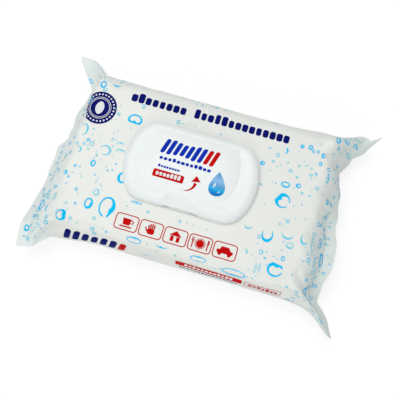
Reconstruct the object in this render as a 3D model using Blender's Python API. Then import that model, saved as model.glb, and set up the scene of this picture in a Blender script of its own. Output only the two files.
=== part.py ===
"""Wet wipes pack: a flow-wrapped film pouch round a stack of wipes, with a hinged lid glued on top.

Metres, +Z up. The origin is under the middle of the body, on the surface that the pack lies on.
+X runs along the pack, -Y is the front, where the lid opens, and +Y is the back, where it is hinged.
"""
import math
from dataclasses import dataclass

import bmesh
import bpy
import numpy as np
from mathutils import Matrix, Vector

# Film pouch
BODY_LENGTH = 0.198
FLAT_WIDTH = 0.112
BODY_HEIGHT = 0.048
FILM = 0.0004
FIN_THICKNESS = 0.0009
SWELL_START = 0.055
SHOULDER_TURN = 0.55
SHOULDER_REACH = 0.38

# Lid, outside
LID_CENTRE = (-0.003, 0.0035)
LID_LENGTH = 0.108
LID_DEPTH = 0.066
LID_HEIGHT = 0.0080
LID_WALL = 0.0012
LID_END_RADIUS = 0.0495
LID_CORNER_RADIUS = 0.0185
SKIRT_HEIGHT = 0.0030
RIM_WIDTH = 0.0060
VALLEY_DEPTH = 0.0007
PANEL_LENGTH = 0.0745
PANEL_DEPTH = 0.043
PANEL_SHIFT = 0.0038
PANEL_END_RADIUS = 0.041
PANEL_CORNER_RADIUS = 0.0015
PANEL_STEP = 0.0004
PANEL_BORDER = 0.0003
SCOOP_WIDTH = 0.032
SCOOP_NARROW = 0.017
SCOOP_DEPTH = 0.0125
SCOOP_EDGE = 0.0018
SCOOP_DRAW = 0.0012

# Lid, inside and hinge
SEAL_RING_WALL = 0.0010
SEAL_RING_LAP = 0.0012
SEAL_RING_GAP = 0.0005
HINGE_LENGTH = 0.036
NOTCH_MARGIN = 0.006

# Frame, opening and glue
GLUE = 0.0004
FLANGE = 0.0012
FLANGE_INSET = 0.0028
COLLAR_HEIGHT = 0.0024
COLLAR_WALL = 0.0014
OPENING_LENGTH = 0.074
OPENING_DEPTH = 0.030
OPENING_END_RADIUS = 0.028
OPENING_CORNER_RADIUS = 0.010
FILM_CUT_MARGIN = 0.0020
LIP_WIDTH = 0.018
LIP_REACH = 0.0024

# Wipes
STACK_END_SPACE = 0.004
STACK_OVERHANG = 0.002
STACK_EDGE = 0.012

# Clearances
GAP = 0.0003
RUNNING_GAP = 0.0006

# Fineness of the meshes
WELD = 0.00001
SMOOTH_ANGLE = 40
GIRTH_SAMPLES = 201
STACK_EDGE_STEPS = 4
SIDE_STEPS = 7
FLAT_STEPS = 3
BODY_STEPS = 8
SLOPE_SHARES = (0.0, 0.2, 0.45, 0.7, 0.88, 1.0)
CAVITY_END = 0.88
END_STEPS = 3
CORNER_STEPS = 4
EDGE_STEPS = 6
RIM_STEPS = 4
STRAIGHT = 0.001

# Where a hanging fin starts to hang and hangs no more, along the girth from middle line to side
DROOP_START = 0.18
DROOP_END = 0.72


@dataclass
class Corner:
    """One ear: how far it runs past the ridge, where along the girth it starts (the pouch's middle
    line is 0, its side 1), how much further out or in the seal runs on the way there, how far its side
    runs on before it narrows, how far the side beside it swells, and how steeply the fin hangs beside
    the ear and at its tip, in degrees."""
    ear_run: float
    ear_start: float
    lean: float
    pinch: float
    lead: float
    swell: float
    droop: float
    tip_droop: float


@dataclass
class End:
    """One sealed end: the ridge of the top face, the film's run from there to the seal, and the fin."""
    side: int
    ridge_bulge: float
    middle_run: float
    fin_width: float
    seal_shift: float
    front: Corner
    back: Corner


LEFT_END = End(side=-1, ridge_bulge=0.003, middle_run=0.0115, fin_width=0.008, seal_shift=-0.003,
               front=Corner(ear_run=0.0195, ear_start=0.78, lean=0.007, pinch=-0.004, lead=0.0,
                            swell=0.004, droop=0, tip_droop=0),
               back=Corner(ear_run=0.023, ear_start=0.70, lean=-0.004, pinch=0.002, lead=0.1,
                           swell=0.000, droop=55, tip_droop=0))
RIGHT_END = End(side=1, ridge_bulge=0.006, middle_run=0.0125, fin_width=0.009, seal_shift=-0.0015,
                front=Corner(ear_run=0.042, ear_start=0.72, lean=0.016, pinch=0.008, lead=0.55,
                             swell=0.000, droop=0, tip_droop=60),
                back=Corner(ear_run=0.037, ear_start=0.55, lean=-0.006, pinch=0.0035, lead=0.5,
                            swell=0.000, droop=0, tip_droop=0))

SEAL_HEIGHT = BODY_HEIGHT / 2
LAYER_HEIGHT = (BODY_HEIGHT - FIN_THICKNESS) / 2
GLUE_BOTTOM = BODY_HEIGHT + GAP
FLANGE_BOTTOM = GLUE_BOTTOM + GLUE + GAP
FLANGE_TOP = FLANGE_BOTTOM + FLANGE
COLLAR_TOP = FLANGE_TOP + COLLAR_HEIGHT
SKIRT_BOTTOM = BODY_HEIGHT + RUNNING_GAP
SKIRT_TOP = BODY_HEIGHT + SKIRT_HEIGHT
LID_TOP = BODY_HEIGHT + LID_HEIGHT
LID_BACK = LID_CENTRE[1] + LID_DEPTH / 2
LID_FRONT = LID_CENTRE[1] - LID_DEPTH / 2
HINGE_AXIS = (LID_CENTRE[0], LID_BACK, FLANGE_TOP + GAP / 2)


def clear_scene():
    """Remove every object of the scene that the script starts in."""
    for item in list(bpy.data.objects):
        bpy.data.objects.remove(item)


def make_collection(name):
    """A collection linked under the scene."""
    collection = bpy.data.collections.new(name)
    bpy.context.scene.collection.children.link(collection)
    return collection


def make_material(name, colour, roughness):
    """A plain Principled material."""
    material = bpy.data.materials.new(name)
    material.use_nodes = True
    shader = material.node_tree.nodes["Principled BSDF"]
    shader.inputs["Base Color"].default_value = (*colour, 1.0)
    shader.inputs["Roughness"].default_value = roughness
    shader.inputs["Metallic"].default_value = 0.0
    return material


def add_object(name, mesh, collection, material=None):
    """Link a mesh to its collection as a named object."""
    item = bpy.data.objects.new(name, mesh)
    collection.objects.link(item)
    if material is not None:
        mesh.materials.append(material)
    return item


def zipped_cap(build, row):
    """Close the end of a flattened tube, from its over layer to its under layer."""
    count = len(row)
    for place in range(count // 2 - 1):
        build.faces.new((row[place], row[place + 1], row[count - 2 - place], row[count - 1 - place]))


def flat_cap(build, row):
    """Close a flat ring with one face."""
    build.faces.new(row)


def mesh_from_rings(name, rings, cap=None):
    """Join rings of points into a skin, with its first and last ring closed by a kind of cap."""
    count = len(rings[0])
    build = bmesh.new()
    rows = [[build.verts.new(point) for point in ring] for ring in rings]
    for row, following in zip(rows, rows[1:]):
        for place in range(count):
            after = (place + 1) % count
            build.faces.new((row[place], row[after], following[after], following[place]))
    if cap is not None:
        cap(build, rows[0])
        cap(build, rows[-1])
    bmesh.ops.recalc_face_normals(build, faces=build.faces[:])
    mesh = bpy.data.meshes.new(name)
    build.to_mesh(mesh)
    build.free()
    return mesh


def film_turn(share):
    """Turn of the film from level to upright along the rounded side, as a share of a right angle."""
    step = np.clip(share / SHOULDER_REACH, 0, 1)
    return SHOULDER_TURN * step * step * (3 - 2 * step) + (1 - SHOULDER_TURN) * share


def running_total(values, spacing):
    """Trapezium sums of values along an evenly spaced line."""
    return np.concatenate([[0.0], np.cumsum((values[1:] + values[:-1]) / 2) * spacing])


def layer_section(fullness):
    """Half a layer of film across the pack: distance out, height over the seal, and share of the girth.

    The film keeps its girth as it empties, so the section grows wider as it grows flatter.
    """
    fine = np.linspace(0, 1, GIRTH_SAMPLES)
    spacing = fine[1] - fine[0]
    full_turn = film_turn(fine) * math.pi / 2
    side_girth = LAYER_HEIGHT / running_total(np.sin(full_turn), spacing)[-1]
    out = running_total(np.cos(full_turn * fullness), spacing)
    fall = running_total(np.sin(full_turn * fullness), spacing)
    flat_half = FLAT_WIDTH / 2
    flat = np.linspace(0, flat_half, FLAT_STEPS + 1)[:-1]
    side = np.linspace(0, 1, SIDE_STEPS + 1)
    distance = np.concatenate([flat, flat_half + side_girth * np.interp(side, fine, out)])
    height = np.concatenate([flat * 0 + fall[-1], fall[-1] - np.interp(side, fine, fall)]) * side_girth
    girth = np.concatenate([flat, flat_half + side_girth * side])
    return distance, height, girth / girth[-1]


def smooth_step(value):
    """0 below 0, 1 above 1, and a smooth rise between them."""
    value = np.clip(value, 0, 1)
    return value * value * (3 - 2 * value)


def film_run(end, corner, girth):
    """How far the film runs out from the ridge to the seal, from the middle line to an ear's tip."""
    ear = np.clip((girth - corner.ear_start) / (1 - corner.ear_start), 0, 1)
    pinch = corner.pinch * smooth_step(2 * girth / corner.ear_start - 1)
    middle = end.middle_run + corner.lean * girth - pinch
    return middle * (1 - ear) + corner.ear_run * ear


def fin_droop(corner, girth):
    """How steeply the fin hangs along the girth, in radians."""
    tip = smooth_step((girth - DROOP_END) / (1 - DROOP_END))
    beside = smooth_step(girth / DROOP_START) * (1 - tip)
    return np.radians(corner.droop * beside + corner.tip_droop * tip)


def half_ring(end, corner, hand, slope, fin):
    """Half a ring of an end, at a share of its slope and of its fin: along, out, height and lift."""
    distance, height, girth = layer_section(1 - slope)
    across = girth * girth
    ridge = BODY_LENGTH / 2 - end.ridge_bulge * across
    pace = slope ** (1 - corner.lead * across)
    droop = fin_droop(corner, girth)
    along = ridge + film_run(end, corner, girth) * pace + end.fin_width * fin * np.cos(droop)
    lift = SEAL_HEIGHT - end.fin_width * fin * np.sin(droop)
    distance = distance + corner.swell * across * across * (1 - slope)
    return end.side * along, hand * distance + end.seal_shift * slope, height + FIN_THICKNESS / 2, lift


def end_ring(end, slope, fin):
    """One ring of film at a share of an end's slope, or past it at a share of its fin."""
    return closed_ring(half_ring(end, end.front, -1, slope, fin), half_ring(end, end.back, 1, slope, fin))


def body_ring(place):
    """One ring of film round the full body, at a place from the left end to the right end."""
    end = RIGHT_END if place > 0 else LEFT_END
    halves = []
    for corner, hand in ((end.front, -1), (end.back, 1)):
        distance, height, girth = layer_section(1.0)
        share = smooth_step((abs(place) - SWELL_START) / (BODY_LENGTH / 2 - SWELL_START))
        distance = distance + corner.swell * girth ** 4 * share
        halves.append((distance * 0 + place, hand * distance, height + FIN_THICKNESS / 2,
                       distance * 0 + SEAL_HEIGHT))
    return closed_ring(*halves)


def closed_ring(front, back):
    """Points over the top layer from front to back, then under the bottom layer from back to front."""
    over = []
    under = []
    for along, across, height, lift in (front, back):
        over.append(np.stack([along, across, lift + height], axis=1))
        under.append(np.stack([along, across, lift - height], axis=1))
    over_row = np.concatenate([over[0][:0:-1], over[1]])
    under_row = np.concatenate([under[1][:0:-1], under[0]])
    return np.concatenate([over_row, under_row])


def pouch_rings():
    """All rings of the pouch from the left fin to the right fin, and which of them bound the cavity."""
    slopes = [[end_ring(end, share, 0.0) for share in SLOPE_SHARES] for end in (LEFT_END, RIGHT_END)]
    fins = [end_ring(end, 1.0, 1.0) for end in (LEFT_END, RIGHT_END)]
    reach = BODY_LENGTH / 2 - RIGHT_END.ridge_bulge * 2
    body = [body_ring(place) for place in np.linspace(-reach, reach, BODY_STEPS + 1)]
    rings = [fins[0]] + slopes[0][::-1] + body + slopes[1] + [fins[1]]
    hollow = [share <= CAVITY_END for share in SLOPE_SHARES]
    inside = [False] + hollow[::-1] + [True] * len(body) + hollow + [False]
    return np.array(rings), inside


def inward(rings, depth):
    """The same rings moved inward by a depth along the normals of their skin."""
    round_way = np.roll(rings, -1, axis=1) - np.roll(rings, 1, axis=1)
    long_way = np.gradient(rings, axis=0)
    normal = np.cross(round_way, long_way)
    normal /= np.linalg.norm(normal, axis=2, keepdims=True)
    return rings + normal * depth


def barrel(length, depth, end_radius, corner_radius, inset=0.0, centre=LID_CENTRE):
    """Outline with straight long edges, bowed ends and round corners, counter-clockwise from +X."""
    half_depth = depth / 2 - inset
    corner = max(corner_radius - inset, PANEL_CORNER_RADIUS / 2)
    reach = end_radius - inset - corner
    end_centre = length / 2 - end_radius
    corner_y = half_depth - corner
    corner_x = end_centre + math.sqrt(reach * reach - corner_y * corner_y)
    bow = math.asin(corner_y / reach)
    points = []
    for step in range(END_STEPS):
        angle = bow * step / END_STEPS
        radius = end_radius - inset
        points.append((end_centre + radius * math.cos(angle), radius * math.sin(angle)))
    for step in range(CORNER_STEPS):
        angle = bow + (math.pi / 2 - bow) * step / CORNER_STEPS
        points.append((corner_x + corner * math.cos(angle), corner_y + corner * math.sin(angle)))
    for step in range(EDGE_STEPS + 1):
        points.append((corner_x * (1 - step / EDGE_STEPS), half_depth))
    quarter = np.array(points)
    left = quarter[-2::-1] * (-1, 1)
    half = np.concatenate([quarter, left])
    return np.concatenate([half, half[-2:0:-1] * (1, -1)]) + centre


def lid_outline(inset=0.0):
    """Outline of the lid, moved inward by an inset."""
    return barrel(LID_LENGTH, LID_DEPTH, LID_END_RADIUS, LID_CORNER_RADIUS, inset)


def panel_outline(inset=0.0):
    """Outline of the raised panel, which sits nearer the hinge than the front."""
    centre = (LID_CENTRE[0], LID_CENTRE[1] + PANEL_SHIFT)
    return barrel(PANEL_LENGTH, PANEL_DEPTH, PANEL_END_RADIUS, PANEL_CORNER_RADIUS, inset, centre)


def opening_outline(inset=0.0):
    """Outline of the opening, moved inward by an inset or outward by a negative one."""
    return barrel(OPENING_LENGTH, OPENING_DEPTH, OPENING_END_RADIUS, OPENING_CORNER_RADIUS, inset)


def at_height(outline, height):
    """An outline as a ring of points at one height."""
    return np.column_stack([outline, np.broadcast_to(height, len(outline))])


def corners_only(outline):
    """An outline without the points that lie on its straight stretches."""
    before = outline - np.roll(outline, 1, axis=0)
    after = np.roll(outline, -1, axis=0) - outline
    turn = before[:, 0] * after[:, 1] - before[:, 1] * after[:, 0]
    size = np.linalg.norm(before, axis=1) * np.linalg.norm(after, axis=1)
    return outline[np.abs(turn) > size * STRAIGHT]


def plate(name, outlines, low, high, collection, material=None):
    """A flat plate of one outline, with a hole for each further outline, between two heights."""
    curve = bpy.data.curves.new(name, "CURVE")
    curve.dimensions = "2D"
    curve.fill_mode = "BOTH"
    curve.extrude = (high - low) / 2
    for outline in map(corners_only, outlines):
        spline = curve.splines.new("POLY")
        spline.points.add(len(outline) - 1)
        for point, (x, y) in zip(spline.points, outline):
            point.co = (x, y, 0.0, 1.0)
        spline.use_cyclic_u = True
    outline_object = bpy.data.objects.new(name, curve)
    collection.objects.link(outline_object)
    outline_object.location.z = (low + high) / 2
    return curve_to_mesh(outline_object, collection, material)


def curve_to_mesh(source, collection, material):
    """Swap a curve object for a mesh object with welded caps."""
    name = source.name
    bpy.context.view_layer.update()
    evaluated = source.evaluated_get(bpy.context.evaluated_depsgraph_get())
    mesh = bpy.data.meshes.new_from_object(evaluated)
    build = bmesh.new()
    build.from_mesh(mesh)
    bmesh.ops.remove_doubles(build, verts=build.verts[:], dist=WELD)
    bmesh.ops.recalc_face_normals(build, faces=build.faces[:])
    build.to_mesh(mesh)
    build.free()
    place = source.matrix_world.copy()
    bpy.data.objects.remove(source)
    result = add_object(name, mesh, collection, material)
    result.matrix_world = place
    return result


def box(name, low, high, collection, material=None):
    """A box between two corners."""
    build = bmesh.new()
    bmesh.ops.create_cube(build, size=1.0)
    size = np.subtract(high, low)
    middle = np.add(high, low) / 2
    bmesh.ops.scale(build, vec=size, verts=build.verts[:])
    bmesh.ops.translate(build, vec=middle, verts=build.verts[:])
    mesh = bpy.data.meshes.new(name)
    build.to_mesh(mesh)
    build.free()
    return add_object(name, mesh, collection, material)


def boolean(target, tool, operation):
    """Cut or join a target with a tool, which becomes a hidden guide."""
    modifier = target.modifiers.new(tool.name, "BOOLEAN")
    modifier.operation = operation
    modifier.solver = "EXACT"
    modifier.object = tool
    tool.hide_render = True
    tool.display_type = "WIRE"


def shade(item, angle):
    """Shade smooth, with edges sharper than the angle kept crisp."""
    item.data.shade_smooth()
    item.data.set_sharp_from_angle(angle=math.radians(angle))


def make_film_pouch(parts, cutters, material):
    """The film tube with its sealed fins and ears, hollow, with the oval cut under the lid."""
    rings, inside = pouch_rings()
    skin = mesh_from_rings("film_pouch", rings, zipped_cap)
    pouch = add_object("film_pouch", skin, parts, material)
    shade(pouch, SMOOTH_ANGLE)
    hollow_skin = mesh_from_rings("film_cavity", inward(rings, FILM)[inside], zipped_cap)
    hollow = add_object("film_cavity", hollow_skin, cutters)
    boolean(pouch, hollow, "DIFFERENCE")
    outline = opening_outline(FILM_CUT_MARGIN)
    cut = plate("film_cut", [outline], BODY_HEIGHT - 2 * FILM, BODY_HEIGHT + FILM, cutters)
    boolean(pouch, cut, "DIFFERENCE")
    return pouch


def make_wipes_stack(parts, material):
    """The folded wipes: one block with soft long edges that fills the full part of the pouch."""
    low = FILM + GAP
    high = BODY_HEIGHT - FILM - GAP
    half_length = BODY_LENGTH / 2 - STACK_END_SPACE
    half_width = FLAT_WIDTH / 2 + STACK_OVERHANG
    stack = box("wipes_stack", (-half_length, -half_width, low), (half_length, half_width, high),
                parts, material)
    bevel_long_edges(stack, STACK_EDGE)
    shade(stack, SMOOTH_ANGLE)
    return stack


def bevel_long_edges(item, width):
    """Round the four edges of a box that run along X."""
    build = bmesh.new()
    build.from_mesh(item.data)
    edges = [edge for edge in build.edges
             if abs(edge.verts[0].co.x - edge.verts[1].co.x) > abs(edge.verts[0].co.y - edge.verts[1].co.y)
             and abs(edge.verts[0].co.z - edge.verts[1].co.z) < width / 2]
    bmesh.ops.bevel(build, geom=edges, offset=width, segments=STACK_EDGE_STEPS, affect="EDGES")
    build.to_mesh(item.data)
    build.free()


def make_glue_ring(parts, material):
    """The adhesive between the film and the lid frame."""
    outlines = [lid_outline(FLANGE_INSET + GAP), opening_outline()]
    return plate("glue_ring", outlines, GLUE_BOTTOM, GLUE_BOTTOM + GLUE, parts, material)


def near_edge(outline, edge_y, half_width):
    """Which points of an outline lie on a long edge, within a half width of the lid's middle."""
    on_edge = np.abs(outline[:, 1] - edge_y) < GAP
    return on_edge & (np.abs(outline[:, 0] - LID_CENTRE[0]) <= half_width)


def flange_outline():
    """Outline of the frame, with its hinge ledge at the back and its lip at the front."""
    outline = lid_outline(FLANGE_INSET)
    ledge = near_edge(outline, LID_BACK - FLANGE_INSET, HINGE_LENGTH / 2)
    lip = near_edge(outline, LID_FRONT + FLANGE_INSET, LIP_WIDTH / 2)
    outline[ledge, 1] = LID_BACK - GAP
    outline[lip, 1] -= LIP_REACH
    return outline


def make_lid_frame(parts, material):
    """The moulded base: flange, collar round the opening, hinge ledge and front lip."""
    flange = flange_outline()
    collar = opening_outline(-COLLAR_WALL)
    opening = opening_outline()
    rings = [at_height(flange, FLANGE_BOTTOM), at_height(flange, FLANGE_TOP),
             at_height(collar, FLANGE_TOP), at_height(collar, COLLAR_TOP),
             at_height(opening, COLLAR_TOP), at_height(opening, FLANGE_BOTTOM)]
    mesh = mesh_from_rings("lid_frame", rings + rings[:1])
    frame = add_object("lid_frame", mesh, parts, material)
    shade(frame, SMOOTH_ANGLE)
    weld = frame.modifiers.new("close_ring", "WELD")
    weld.merge_threshold = WELD
    return frame


def scoop_share(x, inset):
    """How fully the thumb scoop shapes the lid's border: 0 outside it, 1 along its middle."""
    half_width = (SCOOP_WIDTH + (SCOOP_NARROW - SCOOP_WIDTH) * inset / SCOOP_DEPTH) / 2
    across = np.clip(1 - ((x - LID_CENTRE[0]) / half_width) ** 2, 0, 1)
    return across * (inset < SCOOP_DEPTH)


def scooped(outline, height, inset, depth):
    """A ring of the lid's border, drawn down and inward where the thumb scoop crosses it."""
    front = outline[:, 1] < LID_CENTRE[1] - PANEL_DEPTH / 3
    share = scoop_share(outline[:, 0], inset) * front
    edge_height = FLANGE_TOP + GAP + SCOOP_EDGE
    slope_height = edge_height + (LID_TOP - edge_height) * min(inset / SCOOP_DEPTH, 1.0) - depth
    ring = at_height(outline, height)
    ring[:, 2] += np.minimum(slope_height - ring[:, 2], 0) * share
    ring[:, 1] += SCOOP_DRAW * share * max(1 - inset / SCOOP_DEPTH, 0)
    return ring


def skirt_ring(depth):
    """The lower edge of the lid's skin, raised over the hinge ledge and over the front lip."""
    outline = lid_outline(depth)
    ledge = near_edge(outline, LID_BACK - depth, HINGE_LENGTH / 2 + NOTCH_MARGIN)
    lip = near_edge(outline, LID_FRONT + depth, LIP_WIDTH / 2 + NOTCH_MARGIN)
    ring = scooped(outline, SKIRT_BOTTOM, 0.0, 0.0)
    ring[ledge | lip, 2] = FLANGE_TOP + GAP
    return ring


def lid_skin(depth):
    """Rings of the lid's skin at a depth in its wall, from its lower edge over the rim to the valley."""
    rings = [skirt_ring(depth), scooped(lid_outline(depth), SKIRT_TOP, 0.0, depth)]
    for step in range(1, RIM_STEPS + 1):
        angle = math.pi / 2 * step / RIM_STEPS
        inset = RIM_WIDTH * (1 - math.cos(angle)) + depth * math.cos(angle)
        height = SKIRT_TOP + (LID_TOP - SKIRT_TOP - depth) * math.sin(angle)
        rings.append(scooped(lid_outline(inset), height, inset, depth))
    crest = lid_outline(RIM_WIDTH)
    valley = panel_outline(-PANEL_BORDER)
    valley_height = LID_TOP - VALLEY_DEPTH - depth
    middle_inset = RIM_WIDTH + (SCOOP_DEPTH - RIM_WIDTH) / 2
    rings.append(scooped((crest + valley) / 2, (LID_TOP - depth + valley_height) / 2, middle_inset, depth))
    rings.append(at_height(valley, valley_height))
    return rings


def lid_rings():
    """Rings of the whole lid shell: its inner skin from the middle outward, then its outer skin."""
    middle = np.array(LID_CENTRE) + (0.0, PANEL_SHIFT)
    panel_height = LID_TOP - VALLEY_DEPTH + PANEL_STEP
    inner_middle = middle + (panel_outline() - middle) / 2
    inner = [at_height(inner_middle, LID_TOP - VALLEY_DEPTH - LID_WALL)] + lid_skin(LID_WALL)[::-1]
    panel = [at_height(panel_outline(), panel_height), at_height(inner_middle, panel_height)]
    return inner + lid_skin(0.0) + panel


def make_lid_flap(parts, cutters, material):
    """The moulded lid: a domed shell with its raised panel and thumb scoop, and the ring that seals it."""
    flap = add_object("lid_flap", mesh_from_rings("lid_flap", lid_rings(), flat_cap), parts, material)
    shade(flap, SMOOTH_ANGLE)
    ring_inset = -(COLLAR_WALL + SEAL_RING_GAP)
    outlines = [opening_outline(ring_inset - SEAL_RING_WALL), opening_outline(ring_inset)]
    ring_top = LID_TOP - VALLEY_DEPTH - LID_WALL / 2
    ring = plate("lid_seal_ring", outlines, COLLAR_TOP - SEAL_RING_LAP, ring_top, cutters)
    boolean(flap, ring, "UNION")
    move_origin(flap, HINGE_AXIS)
    return flap


def move_origin(item, place):
    """Put an object's origin at a place, with its mesh left where it is."""
    item.data.transform(Matrix.Translation(-Vector(place)))
    item.location = place


def main():
    """Build the pack."""
    clear_scene()
    parts = make_collection("wet_wipes_pack")
    cutters = make_collection("cutters")
    film = make_material("printed_film", (0.83, 0.84, 0.80), 0.35)
    plastic = make_material("lid_plastic", (0.87, 0.88, 0.89), 0.40)
    fleece = make_material("wipe_fleece", (0.90, 0.90, 0.89), 0.90)
    adhesive = make_material("adhesive", (0.80, 0.78, 0.70), 0.50)
    make_film_pouch(parts, cutters, film)
    make_wipes_stack(parts, fleece)
    make_glue_ring(parts, adhesive)
    make_lid_frame(parts, plastic)
    make_lid_flap(parts, cutters, plastic)


main()
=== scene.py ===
"""Wet wipes pack: the looks of its crumpled printed film, its moulded lid and the wipes inside.

Metres, +Z up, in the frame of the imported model. Sizes of the film and the lid repeat the model's own,
and the finer meshes here stand for its nodes.
"""
import math
from dataclasses import dataclass

import bmesh
import bpy
import numpy as np
from mathutils import Euler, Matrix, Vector

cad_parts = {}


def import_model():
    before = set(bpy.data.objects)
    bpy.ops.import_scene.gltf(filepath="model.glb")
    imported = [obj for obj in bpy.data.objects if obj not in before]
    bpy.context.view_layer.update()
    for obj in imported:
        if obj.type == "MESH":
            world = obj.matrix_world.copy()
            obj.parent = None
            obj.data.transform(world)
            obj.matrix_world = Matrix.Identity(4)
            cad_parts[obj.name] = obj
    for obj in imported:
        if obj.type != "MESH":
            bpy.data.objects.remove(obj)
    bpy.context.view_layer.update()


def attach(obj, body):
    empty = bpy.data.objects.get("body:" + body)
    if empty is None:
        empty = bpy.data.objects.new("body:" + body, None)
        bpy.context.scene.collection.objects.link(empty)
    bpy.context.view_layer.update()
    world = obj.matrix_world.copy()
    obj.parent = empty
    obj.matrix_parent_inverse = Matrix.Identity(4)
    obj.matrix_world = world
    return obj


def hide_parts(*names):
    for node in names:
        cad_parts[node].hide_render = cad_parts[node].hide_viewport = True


MM = 0.001

# Film pouch, as in the model
BODY_LENGTH = 0.198
FLAT_WIDTH = 0.112
BODY_HEIGHT = 0.048
FIN_THICKNESS = 0.0009
SWELL_START = 0.055
SHOULDER_TURN = 0.55
SHOULDER_REACH = 0.38
DROOP_START = 0.18
DROOP_END = 0.72
SLOPE_LENGTH = 0.028

# Film pouch, as seen: its rounded ridges, and where along the girth and the slope its forms start
LEFT_ROUNDING = 0.0018
RIGHT_ROUNDING = 0.0046
RIGHT_ROUNDING_SLANT = 0.0022
ROUNDING_SHARES = (-1.0, -0.6, -0.2, 0.2, 0.6, 1.0)
NORMAL_STEP = 0.0002
SIDE_START = 0.60
TUCK_START = 0.75
FLAT_START = 0.70
EDGE_WAVE_START = 0.3
RIB_COUNT = 7
RIB_HEIGHT = 0.0001

# Lid, frame and opening, as in the model
LID_CENTRE = (-0.003, 0.0035)
LID_LENGTH = 0.108
LID_DEPTH = 0.066
LID_HEIGHT = 0.0080
LID_WALL = 0.0012
LID_END_RADIUS = 0.0495
LID_CORNER_RADIUS = 0.0185
SKIRT_HEIGHT = 0.0030
RIM_WIDTH = 0.0060
VALLEY_DEPTH = 0.0007
PANEL_LENGTH = 0.0745
PANEL_DEPTH = 0.043
PANEL_SHIFT = 0.0038
PANEL_END_RADIUS = 0.041
PANEL_CORNER_RADIUS = 0.0015
PANEL_STEP = 0.0004
PANEL_BORDER = 0.0003
SCOOP_WIDTH = 0.034
SCOOP_NARROW = 0.020
SCOOP_DEPTH = 0.0125
SCOOP_EDGE = 0.0018
SCOOP_DRAW = 0.0012
SEAL_RING_WALL = 0.0010
SEAL_RING_LAP = 0.0012
SEAL_RING_GAP = 0.0005
SEAL_RING_TAPER = 0.0005
HINGE_LENGTH = 0.036
NOTCH_MARGIN = 0.006
GLUE = 0.0004
FLANGE = 0.0012
FLANGE_INSET = 0.0028
FLANGE_HALF_DEPTH = 0.030
SOFT_EDGE = 0.0003
EDGE_RUN = 0.0020
COLLAR_HEIGHT = 0.0024
COLLAR_WALL = 0.0014
OPENING_LENGTH = 0.074
OPENING_DEPTH = 0.030
OPENING_END_RADIUS = 0.028
OPENING_CORNER_RADIUS = 0.010
FILM_CUT_MARGIN = 0.0020
FILM_CUT_BELOW = 0.0016
FILM_CUT_ABOVE = 0.0020
LIP_WIDTH = 0.018
LIP_REACH = 0.0024
GAP = 0.0003
RUNNING_GAP = 0.0006

# Wipes
STACK_END_SPACE = 0.004
STACK_OVERHANG = 0.002
STACK_LOW = 0.0007
STACK_HIGH = 0.0473
STACK_EDGE = 0.012
FOLD_PLACE = 0.004
FOLD_STEP = 0.0014
FOLD_ROLL = 0.00035
DIMPLE_DEPTH = 0.00022
TOP_WIPE_DEPTH = 0.0004

# Fineness of the meshes
BODY_CELL = 0.0014
GIRTH_CELL = 0.00112
SLOPE_RINGS = 26
FIN_RINGS = 20
TURN_SAMPLES = 201
FULLNESS_SAMPLES = 61
END_STEPS = 14
CORNER_STEPS = 12
EDGE_STEPS = 44
RIM_STEPS = 12
VALLEY_STEPS = 6
BOX_CORNER_STEPS = 4
PRINT_CELL = 0.0013
WIPE_RINGS = 191
WIPE_POINTS = 141
WIPE_BEND_POINTS = 9
WEB_RINGS = 25
WEB_SIDES = 12

# Print
INK_LIFT = 0.00013
SECOND_INK_LIFT = 0.00019
LID_INK_LIFT = 0.00006
SECOND_LID_INK_LIFT = 0.00005
DROP_BOLDNESS = 1.4

# Camera
CAMERA_PLACE = (0.05404, -0.13781, 0.58043)
CAMERA_TURN = (13.663, 0.774, 16.631)
CAMERA_LENS = 63.0

# Light
ROOM_COLOUR = (0.955, 0.99, 1.0, 1.0)
ROOM_STRENGTH = 0.55
LAMP_COLOUR = (1.0, 0.985, 0.955)
FLOOR_HEIGHT = -0.0002


@dataclass
class Corner:
    """One ear: its run past the ridge, where along the girth it starts, how much further out or in the
    seal runs on the way there, how far its side runs on before it narrows, how far the side swells, and
    how steeply the fin hangs beside the ear and at its tip, in degrees; then how long its side stays full
    before it is pressed flat, and how far its inner corner is tucked in."""
    ear_run: float
    ear_start: float
    lean: float
    pinch: float
    lead: float
    swell: float
    droop: float
    tip_droop: float
    hold: float = 0.0
    tuck: float = 0.0


@dataclass
class End:
    """One sealed end: the ridge of the top face, the film's run from there to the seal, and the fin."""
    side: int
    ridge_bulge: float
    middle_run: float
    fin_width: float
    seal_shift: float
    front: Corner
    back: Corner


LEFT_END = End(side=-1, ridge_bulge=0.003, middle_run=0.0115, fin_width=0.008, seal_shift=-0.003,
               front=Corner(ear_run=0.0195, ear_start=0.78, lean=0.007, pinch=-0.004, lead=0.0,
                            swell=0.004, droop=0, tip_droop=0, hold=0.7, tuck=0.002),
               back=Corner(ear_run=0.023, ear_start=0.70, lean=-0.004, pinch=0.002, lead=0.1,
                           swell=0.000, droop=55, tip_droop=0))
RIGHT_END = End(side=1, ridge_bulge=0.006, middle_run=0.0125, fin_width=0.009, seal_shift=-0.0015,
                front=Corner(ear_run=0.042, ear_start=0.72, lean=0.016, pinch=0.008, lead=0.50,
                             swell=0.000, droop=0, tip_droop=60, hold=1.0),
                back=Corner(ear_run=0.037, ear_start=0.55, lean=-0.006, pinch=0.0035, lead=0.5,
                            swell=0.004, droop=0, tip_droop=0, hold=0.3,
                            tuck=0.0062))

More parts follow.
